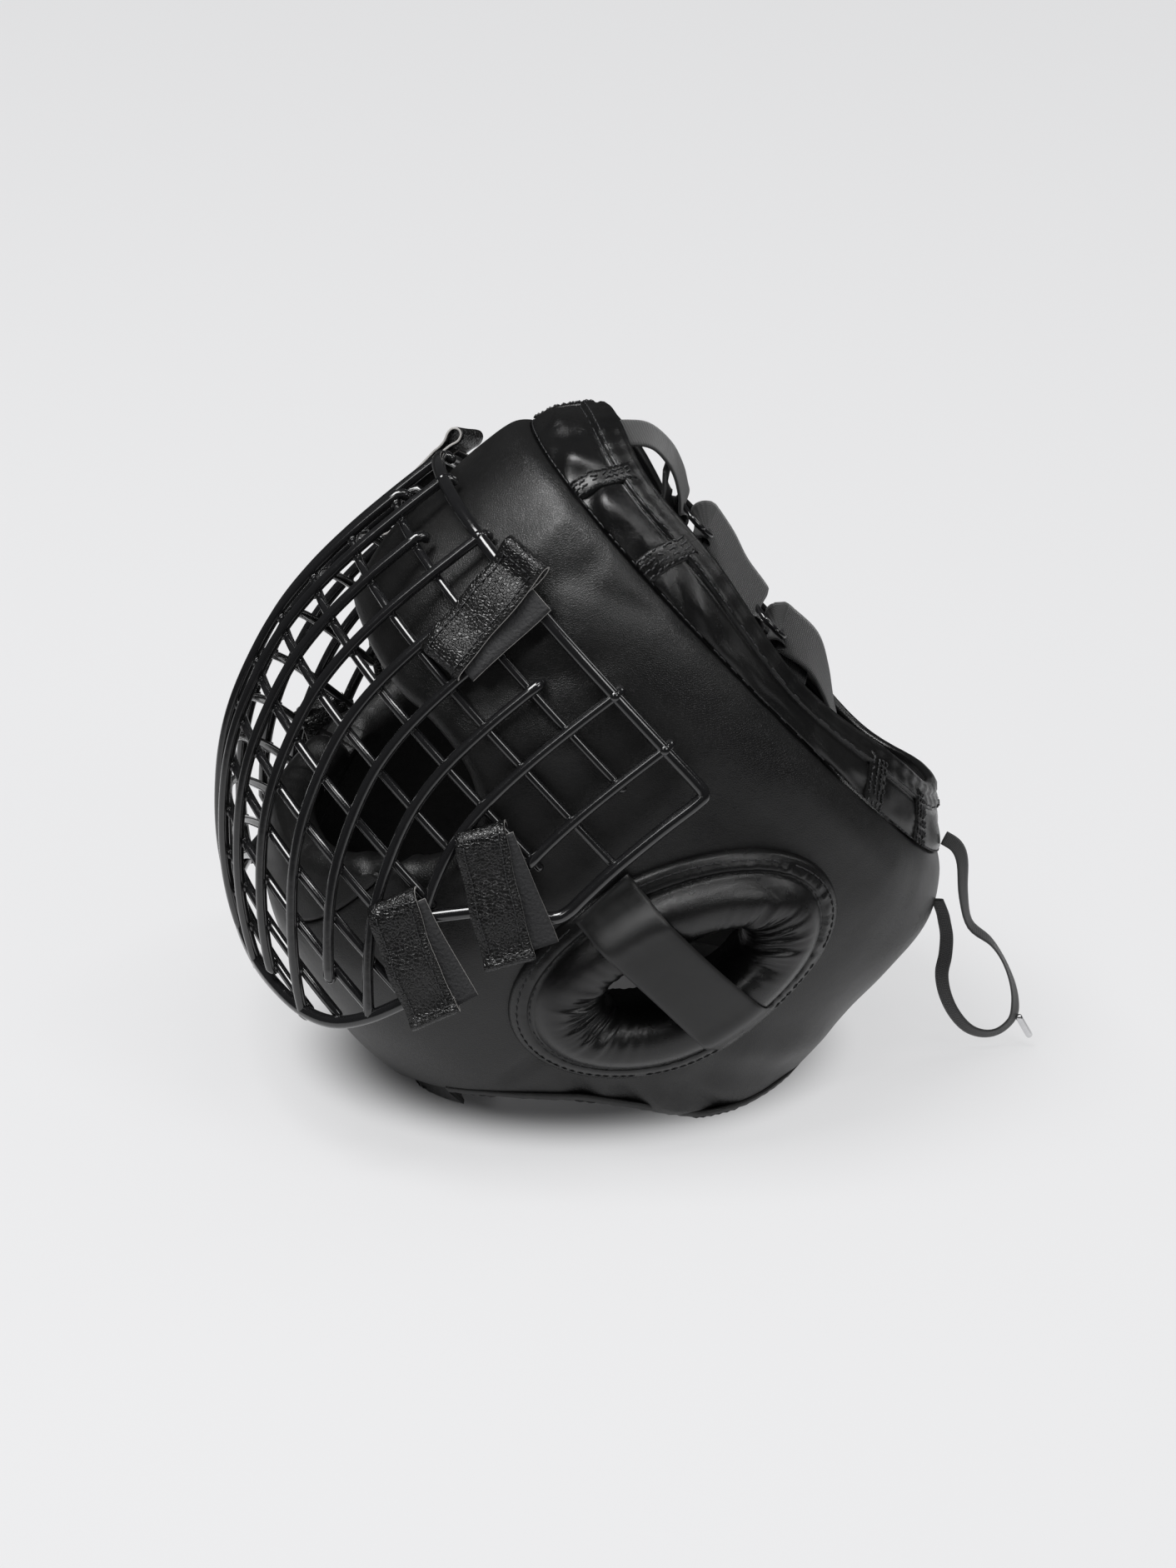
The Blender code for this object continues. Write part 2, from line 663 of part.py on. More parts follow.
# Ear pads: raised rings around the ear holes, and a strap across each.
EAR_PROFILE = (0.0, 0.1, 0.3, 0.55, 0.8, 0.93, 1.0)
for side, side_name in ((1.0, "left"), (-1.0, "right")):
    tilt = math.radians(EAR_TILT_DEG)
    rows = []
    for share in EAR_PROFILE:
        rows.append((share, EAR_PAD_HEIGHT * dome(share) + 2.2))
    rows.append((1.0, 0.7))
    rows.append((0.5, 0.7))
    rows.append((0.0, 0.7))
    verts = []
    for share, height in rows:
        for k in range(EAR_SEGMENTS):
            a = 2 * math.pi * k / EAR_SEGMENTS
            along = (EAR_HOLE[0] + share * (EAR_OUTER[0] - EAR_HOLE[0])) * math.cos(a)
            across = (EAR_HOLE[1] + share * (EAR_OUTER[1] - EAR_HOLE[1])) * math.sin(a)
            y = EAR_CENTRE_Y + along * math.sin(tilt) + across * math.cos(tilt)
            z = EAR_CENTRE_Z + along * math.cos(tilt) - across * math.sin(tilt)
            x = side * (side_surface(y, z) + height)
            verts.append(to_world((x, y, z)))
    make_object("ear_pad_" + side_name, verts, ring_grid(len(rows), EAR_SEGMENTS), leather)
    outer = []
    inner = []
    for i in range(15):
        u = -1.0 + i / 7.0
        row_outer = []
        row_inner = []
        for v in (-0.5, 0.0, 0.5):
            y = EAR_STRAP_CENTRE[0] + u * EAR_STRAP_HALF_SPAN
            z = EAR_STRAP_CENTRE[1] + v * EAR_STRAP_WIDTH
            base = side_surface(y, z) + strap_lift(y, z)
            row_inner.append(to_world((side * base, y, z)))
            row_outer.append(to_world((side * (base + EAR_STRAP_THICKNESS), y, z)))
        outer.append(row_outer)
        inner.append(row_inner)
    patch_solid("ear_strap_" + side_name, outer, inner, lining)

# Visor: uprights outside, crossbars inside, heavier frame, joined to one solid.
uprights = []
for column, top, bottom in UPRIGHTS:
    for side in ((1,) if column == 0 else (1, -1)):
        count = max(2, int(round(bottom - top)) + 1)
        points = [cage_point(side * column, top + (bottom - top) * i / (count - 1), UPRIGHT_OFFSET) for i in range(count)]
        uprights.append((points, UPRIGHT_RADIUS, False))
crossbars = []
for row, last in CROSSBARS:
    marks = sorted(set([float(k) for k in range(0, int(last) + 1)] + [last]))
    signed = [-k for k in reversed(marks) if k > 0] + marks
    crossbars.append(([cage_point(k, row, CROSSBAR_OFFSET) for k in signed], CROSSBAR_RADIUS, False))
half_top = [cage_point(float(k), 1.0) for k in range(0, 8)]
half_side = [cage_point(8.0, row) for row in SIDE_FRAME_ROWS] + [cage_point(k, row) for k, row in SIDE_FRAME_RETURN]
half_frame = half_top + half_side
mirror = [Vector((-p.x, p.y, p.z)) for p in reversed(half_frame[1:])]
bottom_half = [cage_point(k, row) for k, row in BOTTOM_FRAME]
bottom = [Vector((-p.x, p.y, p.z)) for p in reversed(bottom_half[1:])] + bottom_half
cage = tube_object("wire_visor", uprights, wire_black)
bars = tube_object("crossbars", crossbars)
frame_wires = tube_object("frame_wires", [(mirror + half_frame, FRAME_RADIUS, False), (bottom, FRAME_RADIUS, False)])
apply_boolean(cage, bars, "UNION")
apply_boolean(cage, frame_wires, "UNION")
tidy_mesh(cage, 0.00002)


def band(name, centre_line, across, thickness, width, mat):
    """Strap of rectangular section along head-frame points; across is its width direction."""
    rows_a = []
    rows_b = []
    widths = width if isinstance(width, list) else [width] * len(centre_line)
    for i, point in enumerate(centre_line):
        before = centre_line[max(i - 1, 0)]
        after = centre_line[min(i + 1, len(centre_line) - 1)]
        tangent = (after - before).normalized()
        side = (across - tangent * across.dot(tangent)).normalized()
        normal = tangent.cross(side).normalized()
        rows_a.append([to_world(point + normal * (thickness / 2) + side * (widths[i] * v)) for v in (-0.5, 0.5)])
        rows_b.append([to_world(point - normal * (thickness / 2) + side * (widths[i] * v)) for v in (-0.5, 0.5)])
    return patch_solid(name, rows_a, rows_b, mat)


def beyond_cage(column, row, outward):
    """Visor surface point that may lie past the top frame."""
    if row >= 1.0:
        return cage_point(column, row, outward)
    edge = cage_point(column, 1.0, outward)
    return edge + (edge - cage_point(column, 1.5, outward)) * ((1.0 - row) / 0.5)


# Closure tabs: each strap lies over the outside of the wires, with a short bent lip at the
# window it comes out of, and closes beyond the frame wire.
for label, fold_column, fold_row, end_column, end_row in TABS:
    for side, side_name in ((1.0, "left"), (-1.0, "right")):
        outer_off = UPRIGHT_OFFSET + UPRIGHT_RADIUS + TAB_CLEARANCE + TAB_THICKNESS / 2
        line = []
        for step in range(6):
            share = 1.0 - step / 5.0
            column = side * (fold_column + share * (end_column - fold_column))
            line.append(beyond_cage(column, fold_row + share * (end_row - fold_row), outer_off))
        widths = [TAB_WIDTH] * 5 + [TAB_NECK_WIDTH]
        start = line[-1]
        along = (line[-1] - line[-2]).normalized()
        ground = cage_point(side * fold_column, fold_row)
        normal = (start - ground).normalized()
        normal = (normal - along * normal.dot(along)).normalized()
        across = normal.cross(along).normalized()
        for step in range(1, 5):
            a = 0.5 * math.pi * step / 4.0
            line.append(start + along * (TAB_FOLD_RADIUS * math.sin(a)) - normal * (TAB_FOLD_RADIUS * (1 - math.cos(a))))
            widths.append(TAB_NECK_WIDTH)
        band("tab_%s_%s" % (label, side_name), line, across, TAB_THICKNESS, widths, leather)

# Elastic crown straps and their rings.
for name, path in CROWN_STRAPS:
    line = [Vector((0.0, y, z)) for y, z in path]
    band(name, line, Vector((1.0, 0.0, 0.0)), CROWN_STRAP_THICKNESS, CROWN_STRAP_WIDTH, elastic)
for name, y, z in CROWN_RINGS:
    points = [Vector((RING_RADIUS * 1.3 * math.cos(2 * math.pi * k / 14), y + RING_RADIUS * math.sin(2 * math.pi * k / 14), z))
              for k in range(14)]
    tube_object(name, [(points, RING_WIRE_RADIUS, True)], metal)

# Lace: one free loop of flat lace from the back of the hem, with its bright tip.
curve = bpy.data.curves.new("lace", "CURVE")
curve.dimensions = "3D"
curve.bevel_depth = LACE_RADIUS * MM
curve.bevel_resolution = 2
curve.use_fill_caps = True
lace_points = smooth_line([(LACE_X, y, z) for y, z in LACE_PATH], 2)
spline = curve.splines.new("POLY")
spline.points.add(len(lace_points) - 1)
for i, point in enumerate(lace_points):
    world = to_world(point)
    spline.points[i].co = (world.x, world.y, world.z, 1.0)
curve.materials.append(elastic)
bpy.context.scene.collection.objects.link(bpy.data.objects.new("lace", curve))
tip = [Vector((LACE_X, y, z)) for y, z in LACE_TIP]
tube_object("lace_tip", [(tip, LACE_TIP_RADIUS, False)], metal)

# The origin is on the floor under the middle of the gear, with the free lace left out.
corners = []
for item in bpy.context.scene.objects:
    if item.name not in ("lace", "lace_tip"):
        corners += [vertex.co.y for vertex in item.data.vertices]
middle = 0.5 * (min(corners) + max(corners))
for item in bpy.context.scene.objects:
    item.location.y = -middle
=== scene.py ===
import math

import bmesh
import bpy
from mathutils import Matrix, Vector, noise
from mathutils.kdtree import KDTree


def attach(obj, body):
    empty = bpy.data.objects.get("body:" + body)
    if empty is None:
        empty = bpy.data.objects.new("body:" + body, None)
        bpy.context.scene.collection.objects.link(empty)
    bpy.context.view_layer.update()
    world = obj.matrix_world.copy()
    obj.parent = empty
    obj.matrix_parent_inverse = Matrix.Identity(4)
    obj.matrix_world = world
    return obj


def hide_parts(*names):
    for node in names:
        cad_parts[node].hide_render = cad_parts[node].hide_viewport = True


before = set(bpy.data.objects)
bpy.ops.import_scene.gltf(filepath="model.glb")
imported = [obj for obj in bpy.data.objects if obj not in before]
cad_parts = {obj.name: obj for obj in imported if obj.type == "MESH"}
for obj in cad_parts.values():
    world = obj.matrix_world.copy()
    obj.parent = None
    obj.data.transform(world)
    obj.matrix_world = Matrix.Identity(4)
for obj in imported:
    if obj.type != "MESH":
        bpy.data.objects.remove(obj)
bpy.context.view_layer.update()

# Camera. It stands off the wearer's left, a little in front of the gear, which lies tipped
# back on its jaw and neck rim, and looks down at it.
CAMERA_AT = (2.164, -0.501, 1.223)
CAMERA_AZIMUTH = math.radians(76.9)
CAMERA_DOWN = math.radians(26.23)
CAMERA_ROLL = math.radians(2.27)
LENS_MM = 128.4
camera_data = bpy.data.cameras.new("photo_camera")
camera_data.lens = LENS_MM
camera_data.sensor_width = 36.0
camera_data.clip_end = 50.0
camera = bpy.data.objects.new("photo_camera", camera_data)
bpy.context.scene.collection.objects.link(camera)
camera.matrix_world = (Matrix.Translation(CAMERA_AT) @ Matrix.Rotation(CAMERA_AZIMUTH, 4, "Z")
                       @ Matrix.Rotation(math.pi / 2 - CAMERA_DOWN, 4, "X")
                       @ Matrix.Rotation(CAMERA_ROLL, 4, "Z"))
bpy.context.scene.camera = camera


# Padded shell. One tub of foam between leather outside and inside, moulded round the head,
# with a face opening, a hole over each ear, a crown edge and a neck rim. The leather turns
# over the foam at every edge, and the chin cup is a second such piece, sewn on below.
MM = 0.001
TILT = math.radians(47.0)
HEAD_RAISED = 91.9
HEAD_BACK = 21.4


def on_floor(point):
    """Place of a head point on the floor. Head points are in millimetres from between the
    ears: x to the wearer's left, y to the back, z up."""
    y = point[1] * math.cos(TILT) + point[2] * math.sin(TILT) + HEAD_BACK
    z = -point[1] * math.sin(TILT) + point[2] * math.cos(TILT) + HEAD_RAISED
    return Vector((point[0], y, z)) * MM


PAD_THICKNESS = 21.0
# Height, front end, back end, half width, roundness of the outer leather.
SHELL_STATIONS = (
    (104.1, -181.0, 92.1, 86.9, 2.2),
    (96.9, -186.0, 102.9, 93.0, 2.2),
    (80.0, -187.6, 114.1, 99.5, 2.2),
    (54.9, -187.6, 119.0, 103.0, 2.2),
    (29.9, -186.6, 120.9, 104.5, 2.22),
    (5.1, -178.9, 122.1, 104.5, 2.35),
    (-15.9, -168.0, 120.9, 104.1, 2.55),
    (-35.9, -155.9, 118.1, 102.4, 2.8),
    (-55.9, -146.0, 114.1, 99.1, 2.7),
    (-75.9, -138.0, 103.9, 94.1, 2.5),
    (-94.0, -129.9, 88.0, 86.9, 2.4),
    (-109.9, -119.0, 66.0, 76.1, 2.3),
    (-122.9, -103.9, 41.9, 62.1, 2.2),
    (-132.1, -85.9, 22.0, 47.0, 2.1),
    (-136.9, -66.0, 8.1, 35.9, 2.0),
    (-138.3, -48.0, -12.0, 18.0, 2.0),
    (-138.6, -31.0, -29.0, 1.0, 2.0),
)
SHELL_HALF_WIDTH = 104.5
SHELL_COLUMNS = 300
ROWS_BETWEEN = 7
# Depth, rim height at the middle, rim height at the sides.
NECK_RIM = (
    (-200.0, -400.0, -270.0),
    (-140.1, -329.9, -225.6),
    (-60.1, -240.0, -146.0),
    (-20.2, -180.0, -125.6),
    (5.0, -132.1, -99.5),
    (30.1, -96.9, -76.2),
    (54.9, -71.1, -61.7),
    (78.1, -49.9, -51.6),
    (98.0, -28.0, -32.1),
    (120.0, -5.1, -8.2),
    (160.0, 38.1, 35.9),
)
# Height and half width of the face opening seen from the front.
FACE_OPENING = (
    (-11.5, 0.0), (-11.0, 44.9), (-6.0, 70.0), (-8.0, 85.9), (-21.9, 93.0), (-40.0, 90.1),
    (-55.9, 80.0), (-72.1, 62.1), (-88.0, 35.9), (-92.1, 0.0),
)
FACE_OPENING_BACK = -70.0
# Side profile (y, z) of the seam between the shell and the chin cup.
CHIN_CUP_SEAM = (
    (-64.0, -150.0), (-70.0, -137.0), (-103.0, -119.0), (-112.0, -60.0), (-230.0, -60.0), (-230.0, -150.0),
)
EAR_CENTRE = (2.0, -2.0)
EAR_TILT = math.radians(20.0)
EAR_OUTER = (70.6, 45.1)
EAR_HOLE = (44.0, 18.0)
EDGE_ROUND = 9.5
SEAM_ROUND = 2.6
CROWN_ROUND = 1.6
PADDING_LOWEST = 0.0004


def new_piece(name, verts, faces, material):
    """Mesh object from head-frame points, faces turned outwards."""
    mesh = bpy.data.meshes.new(name)
    mesh.from_pydata([tuple(on_floor(v)) for v in verts], [], faces)
    mesh.validate()
    piece = bpy.data.objects.new(name, mesh)
    bpy.context.scene.collection.objects.link(piece)
    bm = bmesh.new()
    bm.from_mesh(mesh)
    bmesh.ops.recalc_face_normals(bm, faces=bm.faces)
    bm.to_mesh(mesh)
    bm.free()
    mesh.shade_smooth()
    mesh.materials.append(material)
    return piece


def rounded(points, steps, closed=False):
    """Smooth line through points, which may have any number of values each."""
    size = len(points[0])
    count = len(points)
    result = []
    spans = count if closed else count - 1
    for i in range(spans):
        if closed:
            four = [points[(i + k) % count] for k in (-1, 0, 1, 2)]
        else:
            four = [points[min(max(i + k, 0), count - 1)] for k in (-1, 0, 1, 2)]
        for k in range(steps):
            t = k / steps
            row = []
            for c in range(size):
                a, b, d, e = (p[c] for p in four)
                row.append(0.5 * (2 * b + (d - a) * t + (2 * a - 5 * b + 4 * d - e) * t * t
                                  + (3 * b - a - 3 * d + e) * t * t * t))
            result.append(row)
    if not closed:
        result.append(list(points[-1]))
    return result


def reading(rows, value, column):
    """Straight-line reading of a table whose first column rises."""
    if value <= rows[0][0]:
        return rows[0][column]
    for low, high in zip(rows, rows[1:]):
        if value <= high[0]:
            share = (value - low[0]) / (high[0] - low[0])
            return low[column] + share * (high[column] - low[column])
    return rows[-1][column]


def outline_point(front, back, half_width, power, turn):
    s = math.sin(turn)
    c = math.cos(turn)
    x = half_width * math.copysign(abs(s) ** (2.0 / power), s)
    y = 0.5 * (front + back) - 0.5 * (back - front) * math.copysign(abs(c) ** (2.0 / power), c)
    return x, y


station_rows = rounded(SHELL_STATIONS, ROWS_BETWEEN)


def station_at(z):
    """Smoothed station at a height."""
    for upper, lower in zip(station_rows, station_rows[1:]):
        if z >= lower[0]:
            share = min(1.0, max(0.0, (upper[0] - z) / max(1e-6, upper[0] - lower[0])))
            return [a + share * (b - a) for a, b in zip(upper, lower)]
    return station_rows[-1]


def side_surface(y, z):
    """Half width of the outer leather at this depth and height."""
    _, front, back, half_width, power = station_at(z)
    part = abs((y - 0.5 * (front + back)) / (0.5 * (back - front)))
    return half_width * max(0.0, 1.0 - part ** power) ** (1.0 / power)


def shell_normal(x, y, z):
    """Outward direction of the outer leather near a head point."""
    def level(px, py, pz):
        _, front, back, half_width, power = station_at(pz)
        return ((abs(px) / half_width) ** power
                + (abs(py - 0.5 * (front + back)) / (0.5 * (back - front))) ** power) ** (1.0 / power)
    step = 1.0
    grad = Vector((level(x + step, y, z) - level(x - step, y, z),
                   level(x, y + step, z) - level(x, y - step, z),
                   level(x, y, z + step) - level(x, y, z - step)))
    return grad.normalized() if grad.length > 1e-9 else Vector((0.0, 0.0, 1.0))


def neck_rim_height(x, y):
    middle = reading(NECK_RIM, y, 1)
    aside = reading(NECK_RIM, y, 2)
    return middle + abs(x) / SHELL_HALF_WIDTH * (aside - middle)


def neck_level(p):
    return p[2] - neck_rim_height(p[0], p[1])


def distance_to_loop(x, y, loop):
    """Signed distance to a closed outline, positive outside."""
    best = 1e9
    inside = False
    for i, (x1, y1) in enumerate(loop):
        x2, y2 = loop[(i + 1) % len(loop)]
        dx = x2 - x1
        dy = y2 - y1
        share = max(0.0, min(1.0, ((x - x1) * dx + (y - y1) * dy) / (dx * dx + dy * dy)))
        best = min(best, math.hypot(x1 + share * dx - x, y1 + share * dy - y))
        if (y1 > y) != (y2 > y) and x < x1 + (y - y1) * dx / dy:
            inside = not inside
    return -best if inside else best


face_half = [(w, z) for z, w in FACE_OPENING]
face_loop = face_half + [(-w, z) for w, z in reversed(face_half[1:-1])]
face_loop = [tuple(p) for p in rounded(face_loop, 3, closed=True)]


def face_level(p):
    if p[1] > FACE_OPENING_BACK or p[2] > 20.0:
        return 50.0
    return distance_to_loop(p[0], p[2], face_loop)


def ear_level(p):
    dy = p[1] - EAR_CENTRE[0]
    dz = p[2] - EAR_CENTRE[1]
    along = dy * math.sin(EAR_TILT) + dz * math.cos(EAR_TILT)
    across = dy * math.cos(EAR_TILT) - dz * math.sin(EAR_TILT)
    return 26.0 * (math.hypot(along / EAR_HOLE[0], across / EAR_HOLE[1]) - 1.0)


def open_level(p):
    """Above zero on the leather, below zero over an opening."""
    return min(neck_level(p), face_level(p), ear_level(p))


def cup_level(p):
    """Below zero on the chin cup, above zero on the rest of the shell."""
    if p[1] > -55.0 or p[2] > -50.0:
        return 50.0
    return distance_to_loop(p[1], p[2], CHIN_CUP_SEAM)


def cut_mesh(bm, levels, at):
    """Cuts the sheet along the line where the level equals at, and keeps the part above it."""
    crossing = []
    for edge in list(bm.edges):
        a, b = edge.verts
        la = levels[a] - at
        lb = levels[b] - at
        if la * lb < 0.0:
            share = la / (la - lb)
            if share < 0.12:
                a.co = a.co.lerp(b.co, share)
                levels[a] = at
            elif share > 0.88:
                b.co = b.co.lerp(a.co, 1.0 - share)
                levels[b] = at
            else:
                crossing.append((edge, a, share))
    cut_verts = []
    for edge, a, share in crossing:
        if not edge.is_valid:
            continue
        b = edge.other_vert(a)
        la = levels[a] - at
        lb = levels[b] - at
        if la * lb >= 0.0:
            continue
        share = la / (la - lb)
        _, vert = bmesh.utils.edge_split(edge, a, share)
        levels[vert] = at
        cut_verts.append(vert)
    on_line = [v for v in bm.verts if abs(levels[v] - at) < 1e-6]
    bmesh.ops.connect_verts(bm, verts=on_line)
    doomed = [f for f in bm.faces if sum(levels[v] - at for v in f.verts) < 0.0]
    bmesh.ops.delete(bm, geom=doomed, context="FACES")
    loose = [v for v in bm.verts if not v.link_faces]
    bmesh.ops.delete(bm, geom=loose, context="VERTS")


def shell_sheet():
    """The outer leather as one closed sheet, open at the crown."""
    bm = bmesh.new()
    grid = []
    for z, front, back, half_width, power in station_rows:
        row = []
        for c in range(SHELL_COLUMNS):
            x, y = outline_point(front, back, half_width, power, 2 * math.pi * (c + 0.5) / SHELL_COLUMNS)
            row.append(bm.verts.new((x, y, z)))
        grid.append(row)
    for upper, lower in zip(grid, grid[1:]):
        for c in range(SHELL_COLUMNS):
            d = (c + 1) % SHELL_COLUMNS
            bm.faces.new((upper[c], upper[d], lower[d], lower[c]))
    bmesh.ops.recalc_face_normals(bm, faces=bm.faces)
    middle = Vector((0.0, -30.0, 0.0))
    face = max(bm.faces, key=lambda f: f.calc_center_median().x)
    if face.normal.dot(face.calc_center_median() - middle) < 0.0:
        bmesh.ops.reverse_faces(bm, faces=bm.faces)
    return bm


# Creases in the leather, in side view: start (y, z), end (y, z), width, height, and side:
# 1 for the wearer's left, -1 for the right, 0 for both.
CREASES = (
    (48.0, -44.0, 92.0, -36.0, 5.0, -1.6, 0),
    (46.0, -53.0, 86.0, -50.0, 6.0, 1.5, 0),
    (52.0, -30.0, 104.0, -8.0, 7.0, -1.2, 0),
    (58.0, -14.0, 106.0, 14.0, 8.0, 1.0, 0),
    (30.0, -62.0, 62.0, -58.0, 4.0, -1.3, 0),
    (-6.0, -66.0, -2.0, -96.0, 3.0, -1.6, 0),
    (-20.0, -66.0, 30.0, -74.0, 5.0, -1.4, 0),
    (-150.0, 20.0, -120.0, 72.0, 7.0, -1.0, 1),
    (-140.0, 4.0, -105.0, 40.0, 9.0, 1.2, 1),
    (-165.0, 52.0, -150.0, 96.0, 5.0, -1.0, 0),
    (-172.0, 40.0, -168.0, 98.0, 4.0, 0.9, 0),
    (-160.0, 30.0, -146.0, 60.0, 3.5, -0.9, 0),
    (-152.0, 82.0, -120.0, 98.0, 5.0, -0.8, 0),
    (-60.0, 60.0, 40.0, 82.0, 16.0, -1.0, 0),
    (-30.0, 94.0, 60.0, 90.0, 6.0, 0.9, 0),
)


def crease_height(p):
    total = 0.0
    for y1, z1, y2, z2, width, height, side in CREASES:
        if side and side * p[0] < 0.0:
            continue
        if abs(p[0]) < 30.0 and abs(y1) < 140.0:
            continue
        dy = y2 - y1
        dz = z2 - z1
        share = ((p[1] - y1) * dy + (p[2] - z1) * dz) / (dy * dy + dz * dz)
        if share < -0.25 or share > 1.25:
            continue
        near = min(1.0, max(0.0, share))
        away = math.hypot(y1 + near * dy - p[1], z1 + near * dz - p[2])
        if away > 3.0 * width:
            continue
        fade = max(0.0, min(1.0, 4.0 * (share + 0.12))) * max(0.0, min(1.0, 4.0 * (1.12 - share)))
        total += 1.5 * height * fade * math.exp(-(away / width) ** 2)
    swell = noise.noise(Vector(p) * 0.018) * 1.5 + noise.noise(Vector(p) * 0.05) * 0.35
    return total + swell


def padded_piece(name, keep, material, edge_round):
    """Leather-covered foam: the outer sheet, rolled edges and the lining side, as one skin."""
    bm = shell_sheet()
    levels = {v: keep(v.co) for v in bm.verts}
    cut_mesh(bm, levels, 0.0)
    bmesh.ops.remove_doubles(bm, verts=bm.verts, dist=0.5)
    edge_points = []
    for edge in bm.edges:
        if edge.is_boundary:
            for k in range(4):
                edge_points.append(edge.verts[0].co.lerp(edge.verts[1].co, k / 4.0))
    tree = KDTree(len(edge_points))
    for i, point in enumerate(edge_points):
        tree.insert(point, i)
    tree.balance()
    levels = {}
    for vert in bm.verts:
        nearest, _, away = tree.find(vert.co)
        levels[vert] = away - edge_round(nearest)
    cut_mesh(bm, levels, 0.0)
    bmesh.ops.remove_doubles(bm, verts=bm.verts, dist=0.35)
    bm.normal_update()
    bm.verts.index_update()
    normals = [v.normal.copy() for v in bm.verts]
    outer = [v.co.copy() for v in bm.verts]
    count = len(outer)
    verts = [p + n * crease_height(p) for p, n in zip(outer, normals)]
    faces = [tuple(v.index for v in f.verts) for f in bm.faces]
    verts += [p - n * PAD_THICKNESS for p, n in zip(outer, normals)]
    faces += [tuple(count + i for i in reversed(f)) for f in faces[:]]
    arcs = {}
    outs = {}
    rounds = {}
    beside = {}
    for vert in bm.verts:
        if not vert.is_boundary:
            continue
        i = vert.index
        nearest, _, _ = tree.find(vert.co)
        rounds[i] = edge_round(nearest)
        out = nearest - vert.co
        out -= normals[i] * out.dot(normals[i])
        outs[i] = out.normalized() if out.length > 1e-6 else Vector((0.0, 0.0, 1.0))
        beside[i] = [e.other_vert(vert).index for e in vert.link_edges if e.is_boundary]
    for _ in range(5):
        outs = {i: (outs[i] * 2.0 + sum((outs[j] for j in beside[i]), Vector())).normalized() for i in outs}
        rounds = {i: (rounds[i] * 2.0 + sum(rounds[j] for j in beside[i])) / (2.0 + len(beside[i]))
                  for i in rounds}
    for i, out in outs.items():
        radius = rounds[i]
        lift = crease_height(outer[i])
        chain = [i]
        profile = []
        for k in range(1, 5):
            a = 0.5 * math.pi * k / 4.0
            profile.append((radius * math.sin(a), radius * (1.0 - math.cos(a)), 1.0 - k / 5.0))
        for k in range(0, 4):
            a = 0.5 * math.pi * k / 4.0
            profile.append((radius * math.cos(a), PAD_THICKNESS - radius * (1.0 - math.sin(a)), 0.0))
        for side, depth, keep_lift in profile:
            chain.append(len(verts))
            verts.append(outer[i] + out * side - normals[i] * (depth - lift * keep_lift))
        chain.append(count + i)
        arcs[i] = chain
    for edge in bm.edges:
        if not edge.is_boundary:
            continue
        a = arcs[edge.verts[0].index]
        b = arcs[edge.verts[1].index]
        for k in range(len(a) - 1):
            faces.append((a[k], a[k + 1], b[k + 1], b[k]))
    bm.free()
    piece = new_piece(name, verts, faces, material)
    for vertex in piece.data.vertices:
        vertex.co.z = max(vertex.co.z, PADDING_LOWEST)
    return piece


def shell_edge(point):
    if abs(cup_level(point)) < 1.5:
        return SEAM_ROUND
    if point[2] > 100.0:
        return CROWN_ROUND
    return EDGE_ROUND


